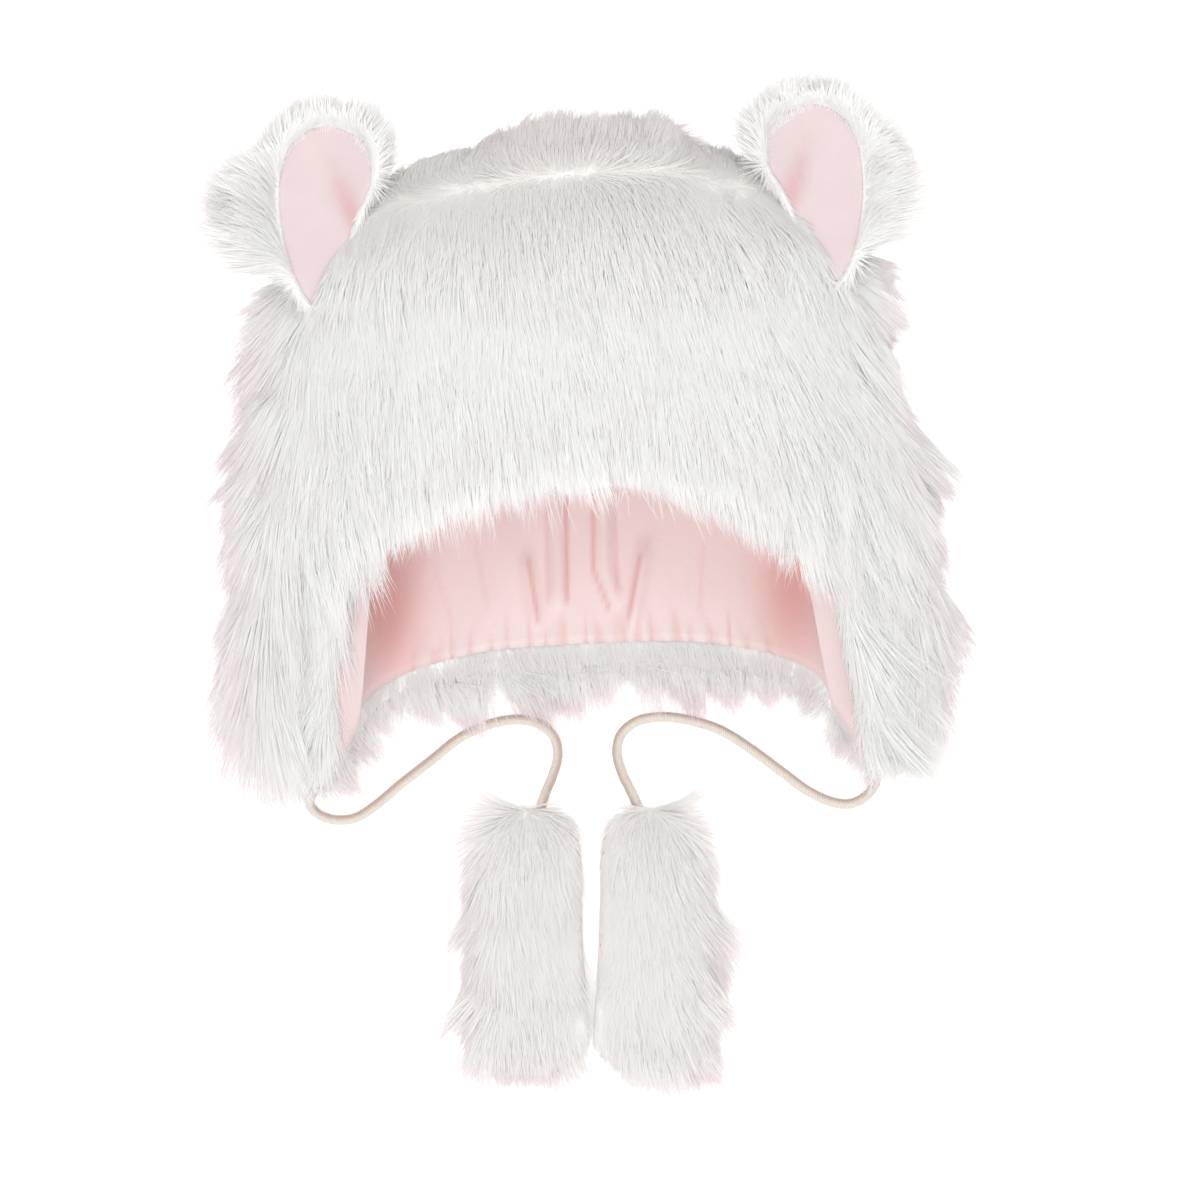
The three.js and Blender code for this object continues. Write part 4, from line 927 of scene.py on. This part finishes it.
def liningForm(at):   # how far the lining stands into the hat, and how much painted shade its creases and the troughs of its gathers get
    angle, along, place = at["angle"], at["along"], at["place"]
    nape = np.sin(angle) < 0
    across = acrossOf(angle) * np.sign(np.cos(angle))
    fromEdge = (edgeOf(angle, "lining") - along) * hat["length"]
    x = across * hat["width"] / 2
    height, creaseShade = np.zeros(angle.shape), np.zeros(angle.shape)
    for stroke in lining["ridges"]:
        off = nearStroke(place, stroke) / lining["ridgeWidth"]
        height = np.maximum(height, lining["ridgeHeight"] * np.exp(-off ** 2))
    # painted shade along the listed crease lines
    for strength, stroke in lining["creaseShades"]:
        off = nearStroke(place, stroke) / lining["creaseShadeWidth"]
        creaseShade = np.maximum(creaseShade, strength * np.exp(-off ** 2))
    pitch = lining["gatherPitch"]
    wobble = sum(size * np.sin(x * turns + start) for size, turns, start in lining["wobble"])
    wave = 0.5 + 0.5 * np.cos(2 * math.pi * (x / pitch + wobble))
    reach = lining["gatherReach"] * (0.75 + 0.25 * np.sin(x * 520 + 2))
    near = np.clip(1 - fromEdge / reach, 0, 1)
    wide = 1 - smoothStep(lining["gatherHalf"] - 0.01, lining["gatherHalf"], np.abs(x))
    height = np.maximum(height, lining["gatherHeight"] * wave * near * wide)
    # painted shade in the troughs between the gathers
    creaseShade = np.maximum(creaseShade, 0.5 * (1 - wave) ** 3 * np.clip(near * 1.6, 0, 1) * wide)
    height = height + lining["ripple"] * (1 + np.sin(x * 190 + along * 22)) * smoothStep(0.3, 0.5, along)
    return np.where(nape, height, 0), np.where(nape, creaseShade, 0)


def makeLining():
    angles = np.concatenate([
        evenAngles(0, math.pi, lining["frontColumns"]), evenAngles(-math.pi, 0, lining["napeColumns"])])
    gap, wall = hat["liningGap"], hat["liningWall"]
    points, faces, at = hatWall(
        angles, "lining", lambda at: -gap - liningForm(at)[0], lambda at: -gap - wall - liningForm(at)[0],
        lining["rows"] // 2 + 1, lining["split"])
    made = meshObject("liningCloth", points, faces, liningCloth)
    creaseShade = liningForm(at)[1]
    x, y, z = np.moveaxis(at["place"], -1, 0)
    # painted shade in the low corners, where the lining turns from the nape into the side walls
    (out, back), (wide, tall) = lining["cornerShadePlace"], lining["cornerShadeSize"]
    recessShade = np.exp(-((np.abs(x) - out) / wide) ** 2 - ((y - back) / tall) ** 2) * (z < lining["cornerShadeBelow"])
    front = np.sin(at["angle"]) >= 0
    recessShade = np.where(front, 0, recessShade)
    # painted shade over the lining's front, inside the front panel
    paintedShade = np.where(front, lining["frontPaintedShade"], 0)
    # painted light, lighter towards the nape's hem
    paintedLight = np.where(np.sin(at["angle"]) < 0, 1 - smoothStep(0.0, 0.03, at["toEdge"]), 0)
    for name, values in (("creaseShade", creaseShade), ("recessShade", recessShade), ("paintedLight", paintedLight), ("paintedShade", paintedShade)):
        both = np.concatenate([values.reshape(-1), values[::-1].reshape(-1), [0, 0]])
        storeOnPoints(made, name, both)
    return made


liningPiece = makeLining()
print("lining made:", len(liningPiece.data.polygons), "faces")


# Tassels: flat pouches of plush with the pile combed down past their ends

tasselRows = dict(
    along=[0.004, 0.015, 0.04, 0.08, 0.14, 0.2, 0.35, 0.5, 0.66, 0.82, 0.9, 0.96, 0.99],
    outer=[0.3, 0.5, 0.64, 0.74, 0.82, 0.86, 0.88, 0.9, 0.9, 0.9, 0.88, 0.8, 0.5],
    inner=[0.3, 0.54, 0.76, 0.88, 0.94, 0.97, 0.98, 1.0, 1.03, 1.09, 1.11, 1.0, 0.6],
    depth=[0.15, 0.28, 0.42, 0.56, 0.7, 0.76, 0.8, 0.8, 0.8, 0.76, 0.66, 0.5, 0.24],
)
tasselPile = dict(
    density=1.7e6, lockPitch=0.011, tuftPitch=0.004, lockPull=0.25, tuftPull=0.3, wander=0.4,
    lockWander=0.3, droop=0.2, twist=1.0, lengthSpread=0.7, lowest=0.0003,
)


def tasselPoint(side, along, across, height):
    top = tassel["tops"][side]
    x = top[0] + across - tassel["turn"] * along
    y = top[1] - along - tassel["turn"] * across
    return np.stack([x, y, height + np.zeros_like(x)], -1) + hatPlace


def makeTassel(side):
    columns = tassel["columns"]
    a = np.linspace(0, 2 * math.pi, columns, endpoint=False)
    power = 2 / tassel["roundness"]
    wide = np.sign(np.cos(a)) * np.abs(np.cos(a)) ** power
    high = np.sign(np.sin(a)) * np.abs(np.sin(a)) ** power
    rings = []
    outward = 1 if side == "right" else -1
    fineRows = np.concatenate([np.linspace(0.004, 0.1, 8), np.linspace(0.13, 0.99, 30)])
    for along in fineRows:
        outer, inner, depth = (
            np.interp(along, tasselRows["along"], tasselRows[key]) for key in ("outer", "inner", "depth"))
        width = np.where(wide * outward > 0, outer, inner)
        middle = tassel["entryHeight"] + (tassel["depth"] / 2 - tassel["entryHeight"]) * depth
        rings.append(tasselPoint(side, np.full(columns, along * tassel["length"]),
                                 0.5 * tassel["width"] * width * wide,
                                 middle + 0.5 * tassel["depth"] * depth * high))
    start = tasselPoint(side, np.array(0.0), np.array(0.0), tassel["entryHeight"])
    end = tasselPoint(side, np.array(tassel["length"]), np.array(0.0), tassel["entryHeight"])
    points, faces = loft(rings, start, end)
    pouch = meshObject(side + "Pouch", points, faces, footMaterial)
    rows = len(rings)
    across = np.concatenate([np.tile(wide, rows), [0, 0]]) * outward
    over = np.concatenate([np.tile(high, rows), [1, 0]])
    along = np.concatenate([np.repeat(fineRows, columns), [0, 1]])
    outer = np.clip(across, 0, 1)
    inner = np.clip(-across, 0, 1)
    start = 1 - smoothStep(0.02, 0.2, along)
    tuft = sum(np.exp(-((along - at) / tassel["tuftReach"]) ** 2) for at in tassel["tufts"]) * outer ** 3
    comb = np.stack([outward * (0.3 * outer ** 2 + (0.1 + 0.5 * start) * across + 1.3 * tuft),
                     np.full(len(across), -1.0), np.zeros(len(across))], -1)
    length = tassel["fibreLength"] * (1 - 0.7 * inner ** 3) * (1 - 0.2 * start) * (1 + 0.45 * tuft)
    for name, values in dict(
            comb=comb,
            fibreLength=length * (1 - (0.25 + 0.15 * outer + 0.1 * inner) * smoothStep(0.85, 1, along)),
            stand=0.25 + 0.2 * outer ** 3 - 0.2 * inner ** 3 + 0.3 * start * outer + 0.2 * tuft,
            seam=smoothStep(0.8, 0.95, inner) * (1 - smoothStep(0.7, 0.8, along)),
            shade=np.full(len(across), 0.1),
            fill=np.where(over < -0.5, tassel["underFill"], 1.0) * (1 - 0.75 * inner ** 8),
            # painted pink bounce light towards the tassel's end and on its outer side
            pinkBounceLight=np.clip(0.1 + 0.8 * smoothStep(0.82, 0.97, along) + 0.6 * outer ** 4, 0, 0.95)).items():
        storeOnPoints(pouch, name, values)
    seed = 31 if side == "left" else 33
    return pouch, growPile(side + "TasselPile", pouch, tasselPile, furMaterial, tasselPile["density"], seed)


tassels = {side: makeTassel(side) for side in ("left", "right")}
print("tassels made")


# Floor, lights and the plain pale room

def floorMaterial():   # a light table's opal sheet: white, with hardly a shadow on it
    material, tree = newMaterial("opal acrylic sheet")
    shader = addNode(tree, "ShaderNodeBsdfPrincipled", None, {
        "Base Color": hexColour("#FAFAFA"), "Roughness": 0.9, "Specular IOR Level": 0.0,
        "Emission Color": hexColour("#FFFFFF"), "Emission Strength": studio["floorGlow"]})
    addNode(tree, "ShaderNodeOutputMaterial", None, {"Surface": shader.outputs[0]})
    return material


studio = dict(
    floorSize=6.0, floorGlow=0.3, roomStrength=0.72, bounces=7, litPlace=(0, 0, 0.05),
    keyPlace=(-0.25, -0.7, 2.4), keySize=1.2, keyPower=27.0,
    fillPlace=(0.5, 0.9, 2.2), fillSize=1.4, fillPower=9.0,
)


def makeStudio():
    s = studio["floorSize"] / 2
    corners = [(-s, -s, 0), (s, -s, 0), (s, s, 0), (-s, s, 0)]
    floor = meshObject("floor", corners, [(0, 1, 2, 3)], floorMaterial(), False)
    for name in ("key", "fill"):
        lamp = bpy.data.lights.new(name + "Light", "AREA")
        lamp.size = studio[name + "Size"]
        lamp.energy = studio[name + "Power"]
        thing = bpy.data.objects.new(name + "Light", lamp)
        bpy.context.scene.collection.objects.link(thing)
        place = Vector(studio[name + "Place"])
        thing.location = place
        thing.rotation_euler = (Vector(studio["litPlace"]) - place).to_track_quat("-Z", "Y").to_euler()
    world = bpy.data.worlds.new("room")
    world.use_nodes = True
    background = world.node_tree.nodes["Background"]
    background.inputs["Color"].default_value = hexColour("#FFFFFF")
    background.inputs["Strength"].default_value = studio["roomStrength"]
    bpy.context.scene.world = world
    bpy.context.scene.view_settings.view_transform = "Standard"
    bpy.context.scene.cycles.max_bounces = studio["bounces"]   # white pile passes light on many times
    bpy.context.scene.cycles.diffuse_bounces = studio["bounces"]


makeStudio()
print("studio made")


# What each piece rides on and stands for

def standsFor(piece, node):
    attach(piece, "root")
    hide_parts(node)


def declare():
    for piece in [hatFoot, *hatPiles]:
        standsFor(piece, "fur_shell")
    standsFor(liningPiece, "lining")
    for side, name in ((-1, "left"), (1, "right")):
        made = ears[side]
        for key in ("foot", "pile"):
            standsFor(made[key], name + "_ear_fur")
        standsFor(made["panel"], name + "_ear_panel")
        for piece in tassels[name]:
            standsFor(piece, name + "_tassel")
        tube, line, length = cords[name]
        standsFor(tube, name + "_cord")


declare()
bpy.data.objects.remove(fibreObject)
